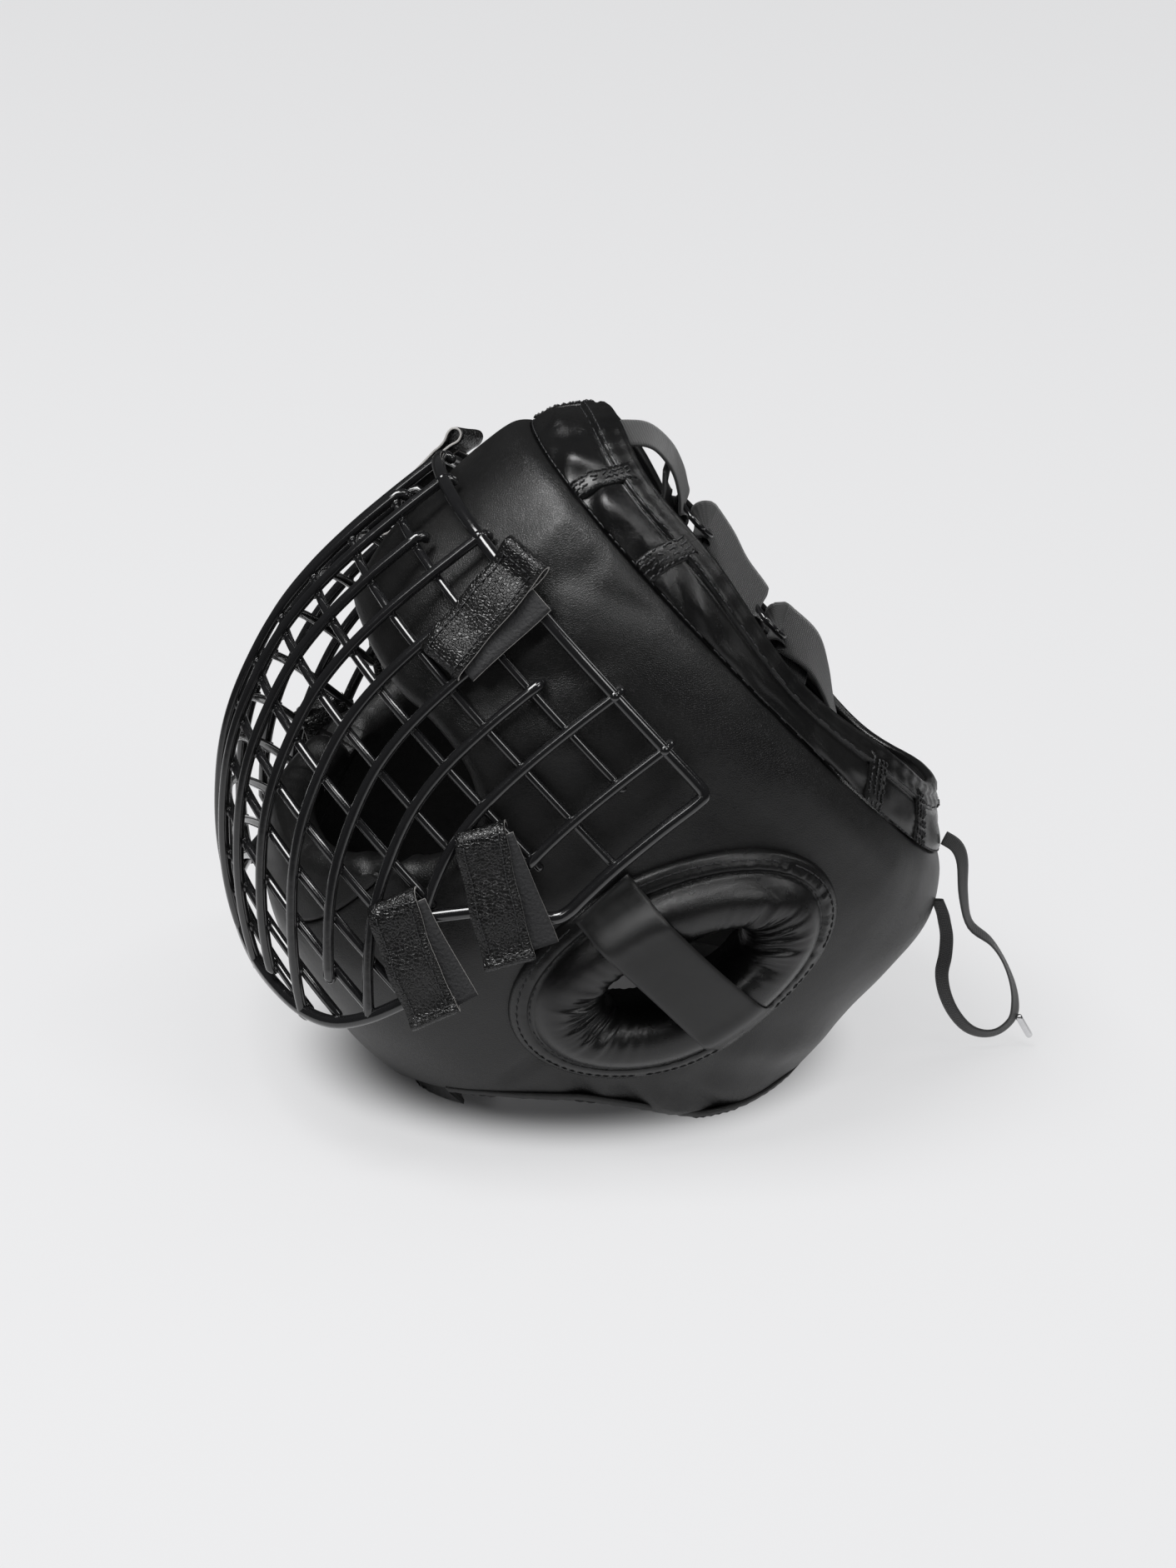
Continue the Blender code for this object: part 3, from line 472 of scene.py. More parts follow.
def leather_finish(name, tone, rough_low, rough_high, grain_mm, grain_depth_mm):
    mat = bpy.data.materials.new(name)
    mat.use_nodes = True
    tree = mat.node_tree
    shader = tree.nodes["Principled BSDF"]
    coords = tree.nodes.new("ShaderNodeTexCoord")
    cloud = tree.nodes.new("ShaderNodeTexNoise")
    cloud.inputs["Scale"].default_value = 26.0
    cloud.inputs["Detail"].default_value = 5.0
    tree.links.new(coords.outputs["Object"], cloud.inputs["Vector"])
    ramp = tree.nodes.new("ShaderNodeValToRGB")
    ramp.color_ramp.elements[0].position = 0.35
    ramp.color_ramp.elements[0].color = (tone * 0.8, tone * 0.8, tone * 0.82, 1.0)
    ramp.color_ramp.elements[1].position = 0.68
    ramp.color_ramp.elements[1].color = (tone * 1.35, tone * 1.33, tone * 1.32, 1.0)
    tree.links.new(cloud.outputs["Fac"], ramp.inputs["Fac"])
    tree.links.new(ramp.outputs["Color"], shader.inputs["Base Color"])
    spread = tree.nodes.new("ShaderNodeMapRange")
    spread.inputs["From Min"].default_value = 0.3
    spread.inputs["From Max"].default_value = 0.72
    spread.inputs["To Min"].default_value = rough_low
    spread.inputs["To Max"].default_value = rough_high
    tree.links.new(cloud.outputs["Fac"], spread.inputs["Value"])
    tree.links.new(spread.outputs["Result"], shader.inputs["Roughness"])
    cells = tree.nodes.new("ShaderNodeTexVoronoi")
    cells.feature = "DISTANCE_TO_EDGE"
    cells.inputs["Scale"].default_value = 1000.0 / grain_mm
    tree.links.new(coords.outputs["Object"], cells.inputs["Vector"])
    fine = tree.nodes.new("ShaderNodeTexNoise")
    fine.inputs["Scale"].default_value = 1600.0 / grain_mm
    fine.inputs["Detail"].default_value = 3.0
    tree.links.new(coords.outputs["Object"], fine.inputs["Vector"])
    limit = tree.nodes.new("ShaderNodeMapRange")
    limit.inputs["From Min"].default_value = 0.0
    limit.inputs["From Max"].default_value = 0.22
    limit.interpolation_type = "SMOOTHSTEP"
    tree.links.new(cells.outputs["Distance"], limit.inputs["Value"])
    both = tree.nodes.new("ShaderNodeMath")
    both.operation = "MULTIPLY_ADD"
    both.inputs[1].default_value = 0.55
    tree.links.new(fine.outputs["Fac"], both.inputs[0])
    tree.links.new(limit.outputs["Result"], both.inputs[2])
    bump = tree.nodes.new("ShaderNodeBump")
    bump.inputs["Strength"].default_value = 0.6
    bump.inputs["Distance"].default_value = grain_depth_mm * MM
    tree.links.new(both.outputs["Value"], bump.inputs["Height"])
    soft = tree.nodes.new("ShaderNodeTexNoise")
    soft.inputs["Scale"].default_value = 55.0
    soft.inputs["Detail"].default_value = 2.0
    tree.links.new(coords.outputs["Object"], soft.inputs["Vector"])
    swell = tree.nodes.new("ShaderNodeBump")
    swell.inputs["Strength"].default_value = 0.35
    swell.inputs["Distance"].default_value = 0.0012
    tree.links.new(soft.outputs["Fac"], swell.inputs["Height"])
    tree.links.new(bump.outputs["Normal"], swell.inputs["Normal"])
    tree.links.new(swell.outputs["Normal"], shader.inputs["Normal"])
    shader.inputs["Specular IOR Level"].default_value = 0.5
    return mat


def plain_finish(name, color, roughness, metallic=0.0, coat=0.0, bump_scale=0.0, bump_depth=0.0):
    mat = bpy.data.materials.new(name)
    mat.use_nodes = True
    tree = mat.node_tree
    shader = tree.nodes["Principled BSDF"]
    shader.inputs["Metallic"].default_value = metallic
    shader.inputs["Coat Weight"].default_value = coat
    shader.inputs["Coat Roughness"].default_value = 0.12
    coords = tree.nodes.new("ShaderNodeTexCoord")
    mottle = tree.nodes.new("ShaderNodeTexNoise")
    mottle.inputs["Scale"].default_value = 120.0
    mottle.inputs["Detail"].default_value = 4.0
    tree.links.new(coords.outputs["Object"], mottle.inputs["Vector"])
    ramp = tree.nodes.new("ShaderNodeValToRGB")
    ramp.color_ramp.elements[0].color = tuple(c * 0.8 for c in color) + (1.0,)
    ramp.color_ramp.elements[1].color = tuple(min(1.0, c * 1.25) for c in color) + (1.0,)
    tree.links.new(mottle.outputs["Fac"], ramp.inputs["Fac"])
    tree.links.new(ramp.outputs["Color"], shader.inputs["Base Color"])
    spread = tree.nodes.new("ShaderNodeMapRange")
    spread.inputs["To Min"].default_value = roughness * 0.75
    spread.inputs["To Max"].default_value = min(1.0, roughness * 1.3)
    tree.links.new(mottle.outputs["Fac"], spread.inputs["Value"])
    tree.links.new(spread.outputs["Result"], shader.inputs["Roughness"])
    if bump_depth > 0.0:
        grit = tree.nodes.new("ShaderNodeTexNoise")
        grit.inputs["Scale"].default_value = bump_scale
        grit.inputs["Detail"].default_value = 4.0
        tree.links.new(coords.outputs["Object"], grit.inputs["Vector"])
        bump = tree.nodes.new("ShaderNodeBump")
        bump.inputs["Strength"].default_value = 0.6
        bump.inputs["Distance"].default_value = bump_depth
        tree.links.new(grit.outputs["Fac"], bump.inputs["Height"])
        tree.links.new(bump.outputs["Normal"], shader.inputs["Normal"])
    return mat


shell_leather = leather_finish("shell_leather", 0.0045, 0.33, 0.44, 0.9, 0.10)
shell = padded_piece("shell_padding", lambda p: min(open_level(p), cup_level(p)), shell_leather, shell_edge)
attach(shell, "root")
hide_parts("padded_shell")

chin = padded_piece("chin_cup_padding", lambda p: min(open_level(p), -cup_level(p)), shell_leather,
                    shell_edge)
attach(chin, "root")
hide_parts("chin_cup")


# Neck binding. A strip of plain leather sewn over the neck edge of the shell, a little puckered
# by its stitches, which run along its upper edge.
def edge_line(keep, spacing, choose):
    """Ordered points and normals along one edge of the cut leather."""
    bm = shell_sheet()
    levels = {v: keep(v.co) for v in bm.verts}
    cut_mesh(bm, levels, 0.0)
    bmesh.ops.remove_doubles(bm, verts=bm.verts, dist=0.5)
    bm.normal_update()
    bm.edges.index_update()
    bm.edges.ensure_lookup_table()
    waiting = {}
    for edge in bm.edges:
        if edge.is_boundary:
            for vert in edge.verts:
                waiting.setdefault(vert, []).append(edge)
    used = set()
    lines = []
    for edge in bm.edges:
        if not edge.is_boundary or edge in used:
            continue
        start = edge.verts[0]
        line = [start]
        here = edge.verts[1]
        used.add(edge)
        while here != start:
            line.append(here)
            ahead = [e for e in waiting[here] if e not in used]
            if not ahead:
                break
            used.add(ahead[0])
            here = ahead[0].other_vert(here)
        lines.append([(v.co.copy(), v.normal.copy()) for v in line])
    bm.free()
    line = max((l for l in lines if choose(l)), key=len)
    total = 0.0
    lengths = [0.0]
    for i in range(len(line)):
        total += (line[(i + 1) % len(line)][0] - line[i][0]).length
        lengths.append(total)
    count = int(total / spacing)
    result = []
    i = 0
    for k in range(count):
        want = total * k / count
        while lengths[i + 1] < want:
            i += 1
        share = (want - lengths[i]) / max(1e-9, lengths[i + 1] - lengths[i])
        a = line[i]
        b = line[(i + 1) % len(line)]
        result.append((a[0].lerp(b[0], share), a[1].lerp(b[1], share).normalized()))
    for _ in range(3):
        result = [((result[i - 1][0] + p * 2.0 + result[(i + 1) % count][0]) / 4.0,
                   (result[i - 1][1] + n * 2.0 + result[(i + 1) % count][1]).normalized())
                  for i, (p, n) in enumerate(result)]
    return result


def ring_piece(name, rows, material, second=None, second_rows=()):
    """Closed skin from loops of head points, the last loop joined back to the first."""
    count = len(rows[0])
    verts = [p for row in rows for p in row]
    faces = []
    marks = []
    for r in range(len(rows)):
        n = (r + 1) % len(rows)
        for c in range(count):
            d = (c + 1) % count
            faces.append((r * count + c, r * count + d, n * count + d, n * count + c))
            marks.append(1 if r in second_rows else 0)
    piece = new_piece(name, verts, faces, material)
    if second is not None:
        piece.data.materials.append(second)
        for polygon, mark in zip(piece.data.polygons, marks):
            polygon.material_index = mark
    return piece


def tube(points, radius, sides, ends_rounded=True):
    """Round wire along head points, its ends domed; returns vertices and faces."""
    line = [Vector(p) for p in points]
    radii = [radius] * len(line)
    if ends_rounded:
        first = (line[0] - line[1]).normalized()
        last = (line[-1] - line[-2]).normalized()
        front = [line[0] + first * radius * 0.9, line[0] + first * radius * 0.5]
        tail = [line[-1] + last * radius * 0.5, line[-1] + last * radius * 0.9]
        line = front + line + tail
        radii = [radius * 0.35, radius * 0.85] + radii + [radius * 0.85, radius * 0.35]
    verts = []
    faces = []
    normal = None
    for i, point in enumerate(line):
        tangent = (line[min(i + 1, len(line) - 1)] - line[max(i - 1, 0)]).normalized()
        if normal is None:
            normal = tangent.orthogonal().normalized()
        normal = (normal - tangent * normal.dot(tangent)).normalized()
        side = tangent.cross(normal)
        for k in range(sides):
            a = 2 * math.pi * k / sides
            verts.append(point + (normal * math.cos(a) + side * math.sin(a)) * radii[i])
    for i in range(len(line) - 1):
        for k in range(sides):
            m = (k + 1) % sides
            faces.append((i * sides + k, i * sides + m, (i + 1) * sides + m, (i + 1) * sides + k))
    faces.append(tuple(reversed(range(sides))))
    faces.append(tuple((len(line) - 1) * sides + k for k in range(sides)))
    return verts, faces


def gathered(parts):
    """Several (vertices, faces) as one."""
    verts = []
    faces = []
    for part_verts, part_faces in parts:
        base = len(verts)
        verts += part_verts
        faces += [tuple(base + i for i in face) for face in part_faces]
    return verts, faces


def stitch_row(line, normals, length, gap, radius, sink=0.15):
    """Thread stitches along a line of head points: short domed bars lying on the surface."""
    parts = []
    line = [Vector(p) for p in line]
    travelled = 0.0
    start = None
    for i in range(len(line) - 1):
        phase = travelled % (length + gap)
        travelled += (line[i + 1] - line[i]).length
        if start is None and phase < length * 0.3:
            start = i
        if start is not None and (line[i + 1] - line[start]).length >= length:
            lift = normals[start] * (radius * (1.0 - sink))
            lift_end = normals[i + 1] * (radius * (1.0 - sink))
            middle = (line[start] + line[i + 1]) * 0.5 + (lift + lift_end) * 0.5 + normals[i] * radius * 0.5
            parts.append(tube([line[start] + lift * 0.2, middle, line[i + 1] + lift_end * 0.2], radius, 6))
            start = None
    return parts


thread_black = plain_finish("thread_black", (0.016, 0.016, 0.017), 0.4, bump_scale=3000.0,
                            bump_depth=0.0001)


def thread_piece(name, parts):
    """Black sewing thread from stitches, riding with the gear."""
    verts, faces = gathered(parts)
    thread = new_piece(name, verts, faces, thread_black)
    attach(thread, "root")
    return thread


trim_leather = leather_finish("trim_leather", 0.010, 0.38, 0.55, 0.6, 0.05)
rim_line = edge_line(neck_level, 2.0, lambda l: sum(p.z for p, _ in l) / len(l) < 40.0)
binding_rows = [[] for _ in range(22)]
binding_stitches = []
BINDING_DEPTH = PAD_THICKNESS / 2.0
for i, (point, normal) in enumerate(rim_line):
    tangent = (rim_line[(i + 1) % len(rim_line)][0] - rim_line[i - 1][0]).normalized()
    out = tangent.cross(normal).normalized()
    if out.z > 0.0:
        out = -out
    centre = point - out * (BINDING_DEPTH - 0.6) - normal * BINDING_DEPTH
    pucker = 0.45 * math.sin(i * 1.9) * abs(math.sin(i * 0.37)) + 0.35 * noise.noise(Vector(point) * 0.11)
    for k in range(12):
        a = math.radians(82.0 - 164.0 * k / 11.0)
        swell = 1.3 + pucker * math.sin(math.pi * (k + 0.5) / 12.0)
        if k in (0, 11):
            swell = 0.1
        radius = BINDING_DEPTH + swell
        binding_rows[k].append(centre + out * (radius * math.cos(a)) + normal * (radius * math.sin(a)))
    for k in range(10):
        a = math.radians(-76.0 + 152.0 * k / 9.0)
        radius = BINDING_DEPTH - 1.4
        binding_rows[12 + k].append(centre + out * (radius * math.cos(a)) + normal * (radius * math.sin(a)))
    a = math.radians(60.0)
    binding_stitches.append((centre + out * ((BINDING_DEPTH + 1.1) * math.cos(a))
                             + normal * ((BINDING_DEPTH + 1.1) * math.sin(a)),
                             out * math.cos(a) + normal * math.sin(a)))
binding = ring_piece("neck_binding_strip", binding_rows, trim_leather)
for vertex in binding.data.vertices:
    vertex.co.z = max(vertex.co.z, 0.0)
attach(binding, "root")
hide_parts("neck_binding")

binding_parts = stitch_row([p for p, _ in binding_stitches], [n for _, n in binding_stitches],
                           2.6, 1.4, 0.35)
binding_thread = thread_piece("neck_binding_stitches", binding_parts)
for vertex in binding_thread.data.vertices:
    vertex.co.z = max(vertex.co.z, 0.0001)


# Crown hem. A band of unpadded leather gathered to the crown edge by a stitched seam, with a
# rolled and double-stitched rim. It ripples between the tacked loops and sags at the far side.
HEM_STATIONS = (
    (104.6, -180.4, 92.1, 86.5, 2.2),
    (113.0, -177.0, 84.0, 84.5, 2.2),
    (125.1, -167.0, 70.0, 80.5, 2.2),
)
HEM_HALF_WIDTH = 86.5
HEM_THICKNESS = 7.0
HEM_FAR_SAG = 17.0
HEM_FAR_LEAN = 15.0
HEM_NEAR_SAG = 4.0
HEM_COLUMNS = 420
HEM_ROWS = 22
HEM_ROLL_FROM = 0.78
HEM_ROLL_SHARE = 0.22
HEM_ROLL_HEIGHT = 3.1
HEM_LOOP_TURNS = (25.0, 51.0, 115.0, 137.0)
soft_leather = leather_finish("soft_leather", 0.0045, 0.22, 0.32, 0.7, 0.05)
lining_cloth = plain_finish("lining_cloth", (0.014, 0.014, 0.015), 0.75, bump_scale=1800.0,
                            bump_depth=0.0003)


def hem_point(share, turn, lift):
    """Hem leather at a share of its height, raised from its plain surface by lift."""
    span = share * 2.0
    i = min(int(span), 1)
    f = span - i
    z, front, back, half_width, power = (
        a + (b - a) * f for a, b in zip(HEM_STATIONS[i], HEM_STATIONS[i + 1]))
    x, y = outline_point(front - lift, back + lift, half_width + lift, power, turn)
    rise = 8.0 * max(0.0, math.cos(turn)) + 1.6 * math.cos(6.0 * turn)
    sag = share * max(0.0, math.cos(turn + math.radians(116.0))) ** 1.7
    near_sag = share * math.exp(-((math.degrees(turn) % 360.0 - 92.0) / 42.0) ** 2)
    lean = 1.0 - sag * HEM_FAR_LEAN / HEM_HALF_WIDTH
    return Vector((x * lean, y, z + share * (rise - 2.0) - sag * HEM_FAR_SAG - near_sag * HEM_NEAR_SAG))


def loop_nearness(turn):
    """1 at a tacked loop, 0 a few degrees away from it."""
    degrees = abs((math.degrees(turn) + 180.0) % 360.0 - 180.0)
    best = min(abs(degrees - t) for t in HEM_LOOP_TURNS)
    return math.exp(-(best / 4.5) ** 2)


def hem_ripple(share, turn):
    held = loop_nearness(turn)
    place = Vector((math.sin(turn) * 3.1, math.cos(turn) * 3.1, share * 0.9))
    wave = noise.noise(place * 1.3) * 2.2 + noise.noise(place * 2.7 + Vector((7.0, 1.0, 3.0))) * 0.8
    diagonal = noise.noise(Vector((turn * 4.5 + share * 1.6, share * 0.8, 4.0))) * 1.2
    pucker = 0.8 * math.sin(turn * 21.0 + 3.2 * share + 3.0 * noise.noise(place * 0.8))
    belly = math.sin(math.pi * min(1.0, max(0.0, share / HEM_ROLL_FROM))) ** 0.8
    return 0.3 + belly * (1.9 + (1.5 * (wave + diagonal) + pucker) * (1.0 - 0.75 * held) - 2.2 * held)


hem_outer = []
hem_inner = []
for r in range(HEM_ROWS + 1):
    share = r / HEM_ROWS
    outer_row = []
    inner_row = []
    for c in range(HEM_COLUMNS):
        turn = 2.0 * math.pi * c / HEM_COLUMNS
        lift = hem_ripple(share, turn)
        if share > HEM_ROLL_FROM:
            roll = (share - HEM_ROLL_FROM) / HEM_ROLL_SHARE
            lift = 1.7 * math.sin(math.pi * min(1.0, roll)) ** 0.5 + 0.25 * math.sin(turn * 61.0)
        if 0.74 < share < 0.8:
            lift -= 1.3
        outer_row.append(hem_point(share, turn, lift))
        slack = 0.9 * noise.noise(Vector((turn * 6.0, share, 9.0)))
        inner_row.append(hem_point(share, turn, slack - HEM_THICKNESS))
    hem_outer.append(outer_row)
    hem_inner.append(inner_row)
rolled = []
for step in range(1, 6):
    a = math.pi * step / 6.0
    row = []
    for c in range(HEM_COLUMNS):
        top = hem_outer[-1][c]
        low = hem_inner[-1][c]
        middle = (top + low) * 0.5
        row.append(middle + (top - low) * 0.5 * math.cos(a)
                   + Vector((0.0, 0.0, 1.0)) * HEM_ROLL_HEIGHT * math.sin(a))
    rolled.append(row)
hem = ring_piece("crown_hem_leather", hem_outer + rolled + list(reversed(hem_inner)), soft_leather,
                 lining_cloth, set(range(HEM_ROWS + 8, 2 * HEM_ROWS + 8)))
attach(hem, "root")
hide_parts("crown_hem")

stitch_parts = []
for share, length, gap, sunk in ((0.045, 2.3, 1.4, 0.2), (0.80, 2.2, 1.2, 0.2), (0.9, 2.2, 1.2, 0.2)):
    line = []
    facing = []
    r = int(share * HEM_ROWS)
    for c in range(HEM_COLUMNS * 2 + 1):
        a = hem_outer[r][(c // 2) % HEM_COLUMNS]
        b = hem_outer[r][(c // 2 + 1) % HEM_COLUMNS]
        mid = a.lerp(b, 0.5 * (c % 2))
        line.append(mid)
        facing.append(shell_normal(mid.x, mid.y, min(mid.z, 100.0)))
    stitch_parts += stitch_row(line, facing, length, gap, 0.36, sunk)
thread_piece("crown_hem_stitches", stitch_parts)


# Hem loops. Eight short leather tabs folded over the hem, each held down by dense box
# stitching, where the crown straps and the lace pull on it.
def slab(top, bottom):
    """Closed slab from matching grids of outer and inner head points: vertices and faces."""
    rows = len(top)
    cols = len(top[0])
    verts = [p for row in top for p in row] + [p for row in bottom for p in row]
    base = rows * cols
    faces = []
    for r in range(rows - 1):
        for c in range(cols - 1):
            a = r * cols + c
            faces.append((a, a + 1, a + cols + 1, a + cols))
            faces.append((base + a, base + a + cols, base + a + cols + 1, base + a + 1))
    rim = [(0, c) for c in range(cols)] + [(r, cols - 1) for r in range(1, rows)]
    rim += [(rows - 1, c) for c in reversed(range(cols - 1))]
    rim += [(r, 0) for r in reversed(range(1, rows - 1))]
    for i, (r, c) in enumerate(rim):
        r2, c2 = rim[(i + 1) % len(rim)]
        faces.append((r2 * cols + c2, r * cols + c, base + r * cols + c, base + r2 * cols + c2))
    return verts, faces


LOOP_HALF_TURN = 5.5 / 105.0
LOOP_ROWS = 15
LOOP_COLUMNS = 9
loop_parts = []
tack_parts = []
for side in (1.0, -1.0):
    for turn_deg in HEM_LOOP_TURNS:
        rows_top = []
        rows_low = []
        for r in range(LOOP_ROWS):
            share = 0.02 + 0.97 * r / 14.0
            top_row = []
            low_row = []
            for c in range(LOOP_COLUMNS):
                v = c / 4.0 - 1.0
                turn = side * (math.radians(turn_deg) + LOOP_HALF_TURN * v)
                soft = 1.0 - 0.55 * abs(v) ** 4
                lump = 0.35 * noise.noise(Vector((turn * 50.0, share * 7.0, 2.0)))
                lift = 2.0 * soft + lump + 0.5 * math.sin(math.pi * share)
                top_row.append(hem_point(share, turn, lift))
                low_row.append(hem_point(share, turn, -1.5))
            rows_top.append(top_row)
            rows_low.append(low_row)
        loop_parts.append(slab(rows_top, rows_low))
        around = Vector((math.cos(math.radians(turn_deg)) * side, math.sin(math.radians(turn_deg)), 0.0))
        for column in (1, 3, 5, 7):
            line = []
            facing = []
            for k in range(61):
                share_at = k / 60.0 * 13.999
                r = int(share_at)
                point = rows_top[r][column].lerp(rows_top[r + 1][column], share_at - r)
                line.append(point + around * (0.5 * math.sin(k * 1.35)))
                facing.append(shell_normal(point.x, point.y, min(point.z, 100.0)))
            tack_parts += stitch_row(line, facing, 1.3, 0.5, 0.42, 0.1)
loop_verts, loop_faces = gathered(loop_parts)
hem_loops = new_piece("hem_loops_leather", loop_verts, loop_faces, soft_leather)
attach(hem_loops, "root")
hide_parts(*["hem_loop_%s_%d" % (s, n) for s in ("left", "right") for n in (1, 2, 3, 4)])
thread_piece("hem_loop_stitches", tack_parts)


# Ear pads. A stuffed leather ring sewn round each ear hole, gathered at the hole's narrow ends,
# with a flat sewn flange on its outer edge and piping where the flange meets the shell.
EAR_SEGMENTS = 240
# Share of the way from the hole to the outer edge, and height over the shell.
EAR_PROFILE = (
    (-0.30, -22.0), (-0.38, -15.0), (-0.42, -8.0), (-0.40, -2.0), (-0.33, 3.0), (-0.22, 7.2), (-0.08, 10.6),
    (0.08, 13.2), (0.24, 14.9), (0.40, 15.6), (0.54, 15.2), (0.66, 13.6), (0.76, 10.8), (0.84, 7.2),
    (0.89, 4.2), (0.93, 5.3), (0.98, 5.6), (1.04, 4.9), (1.10, 3.8), (1.16, 3.0), (1.19, 1.9), (1.20, 0.1),
)
for side, side_name in ((1.0, "left"), (-1.0, "right")):
    rows = []
    for share, height in EAR_PROFILE:
        row = []
        for k in range(EAR_SEGMENTS):
            turn = 2.0 * math.pi * k / EAR_SEGMENTS
            narrow_end = abs(math.cos(turn)) ** 3
            gather = noise.noise(Vector((math.cos(turn) * 7.5, math.sin(turn) * 7.5, side)))
            gather += 0.6 * noise.noise(Vector((math.cos(turn) * 17.0, math.sin(turn) * 17.0, 5.0)))
            at_hole = math.exp(-((share + 0.02) / 0.34) ** 2)
            at_edge = math.exp(-((share - 0.98) / 0.08) ** 2)
            lift = height + at_hole * gather * (0.8 + 4.6 * narrow_end)
            edge_gather = noise.noise(Vector((math.cos(turn) * 22.0, math.sin(turn) * 22.0, 11.0)))
            lift += at_edge * (1.1 * max(0.0, math.cos(turn - 0.5)) + 0.25) * edge_gather * 1.6
            swell_at = Vector((math.cos(turn) * 2.0, math.sin(turn) * 2.0, share * 2.0 + side))
            lift += 0.5 * noise.noise(swell_at)
            wide = share + at_hole * 0.03 * gather
            narrow = wide if wide > 0.0 else wide * 0.2
            along = (EAR_HOLE[0] + wide * (EAR_OUTER[0] - EAR_HOLE[0])) * math.cos(turn)
            across = (EAR_HOLE[1] + narrow * (EAR_OUTER[1] - EAR_HOLE[1])) * math.sin(turn)
            y = EAR_CENTRE[0] + along * math.sin(EAR_TILT) + across * math.cos(EAR_TILT)
            z = EAR_CENTRE[1] + along * math.cos(EAR_TILT) - across * math.sin(EAR_TILT)
            row.append(Vector((side * (side_surface(y, z) + lift), y, z)))
        rows.append(row)
    under = []
    for q in rows[-1]:
        under.append(Vector((side * (side_surface(q.y, q.z) - 6.0), q.y, q.z)))
    rows.append(under)
    pad = ring_piece("ear_pad_%s_ring" % side_name, rows, soft_leather)
    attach(pad, "root")
    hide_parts("ear_pad_" + side_name)
    pad_parts = []
    for share, length, gap in ((0.89, 1.6, 1.8), (1.10, 2.2, 1.6)):
        line = []
        facing = []
        index = min(range(len(EAR_PROFILE)), key=lambda i: abs(EAR_PROFILE[i][0] - share))
        for k in range(EAR_SEGMENTS * 2 + 1):
            a = rows[index][(k // 2) % EAR_SEGMENTS]
            b = rows[index][(k // 2 + 1) % EAR_SEGMENTS]
            point = a.lerp(b, 0.5 * (k % 2))
            line.append(point)
            facing.append(shell_normal(point.x, point.y, point.z))
        pad_parts += stitch_row(line, facing, length, gap, 0.34, 0.1)
    thread_piece("ear_pad_%s_stitches" % side_name, pad_parts)


# Ear hole shade. Behind each ear hole a dark sheet in the lining cloth's finish comes in from below
# and ends in a straight edge along the hole: painted shade, put there so that the hole is dark and half
# screened.
HOLE_SHADE_THICKNESS = 0.9
for side, side_name in ((1.0, "left"), (-1.0, "right")):
    top = []
    low = []
    for r in range(25):
        along = -46.0 + 92.0 * r / 24.0
        top_row = []
        low_row = []
        for c in range(9):
            across = -24.0 + 29.0 * c / 8.0
            y = EAR_CENTRE[0] + along * math.sin(EAR_TILT) + across * math.cos(EAR_TILT)
            z = EAR_CENTRE[1] + along * math.cos(EAR_TILT) - across * math.sin(EAR_TILT)
            depth = -22.3 + 0.8 * noise.noise(Vector((along * 0.06, across * 0.1, side)))
            surface = side_surface(y, z)
            top_row.append(Vector((side * (surface + depth), y, z)))
            low_row.append(Vector((side * (surface + depth - HOLE_SHADE_THICKNESS), y, z)))
        top.append(top_row)
        low.append(low_row)
    verts, faces = slab(top, low)
    # Painted shade: this dark sheet darkens the ear hole where the inside of the head is in shade.
    hole_shade_sheet = new_piece("ear_hole_shade_%s_cloth" % side_name, verts, faces, lining_cloth)
    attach(hole_shade_sheet, "root")


# Ear straps. A smooth flat leather strap over each ear hole, sewn down beyond the pad at both
# ends, left plain.
def ear_height(y, z):
    """Height of the ear pad's dome at a point of the side."""
    dy = y - EAR_CENTRE[0]
    dz = z - EAR_CENTRE[1]
    along = dy * math.sin(EAR_TILT) + dz * math.cos(EAR_TILT)
    across = dy * math.cos(EAR_TILT) - dz * math.sin(EAR_TILT)
    low = -0.7
    high = 3.0
    for _ in range(24):
        share = 0.5 * (low + high)
        a = EAR_HOLE[0] + share * (EAR_OUTER[0] - EAR_HOLE[0])
        b = EAR_HOLE[1] + share * (EAR_OUTER[1] - EAR_HOLE[1])
        if (along / a) ** 2 + (across / b) ** 2 > 1.0:
            low = share
        else:
            high = share
    return share, reading(EAR_PROFILE, share, 1)


EAR_STRAP_HALF_SPAN = 50.0
EAR_STRAP_HALF_WIDTH = 15.5
strap_leather = leather_finish("strap_leather", 0.009, 0.38, 0.48, 0.5, 0.03)
for side, side_name in ((1.0, "left"), (-1.0, "right")):
    top = []
    low = []
    for r in range(61):
        u = r / 30.0 - 1.0
        top_row = []
        low_row = []
        for c in range(17):
            v = c / 8.0 - 1.0
            waist = 1.0 - 0.06 * math.cos(0.5 * math.pi * u)
            y = -1.0 + u * EAR_STRAP_HALF_SPAN
            z = -2.0 + v * EAR_STRAP_HALF_WIDTH * waist
            share, height = ear_height(y, z)
            if share < 0.42:
                height = 15.2 - 1.2 * math.cos(0.5 * math.pi * u) * (1.0 - 0.3 * v * v)
            if share > 1.0:
                height = max(0.6, 3.6 - 42.0 * (share - 1.0))
            lift = height + 1.5
            edge = 0.35 * abs(v) ** 10
            top_row.append(Vector((side * (side_surface(y, z) + lift + 1.5 - edge * 2.0), y, z)))
            low_row.append(Vector((side * (side_surface(y, z) + lift + edge), y, z)))
        top.append(top_row)
        low.append(low_row)
    for _ in range(3):
        for rows in (top, low):
            for r in range(1, 60):
                rows[r] = [(rows[r - 1][c] + rows[r][c] * 2.0 + rows[r + 1][c]) / 4.0 for c in range(17)]
    verts, faces = slab(top, low)
    strap = new_piece("ear_strap_%s_leather" % side_name, verts, faces, strap_leather)
    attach(strap, "root")
    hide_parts("ear_strap_" + side_name)


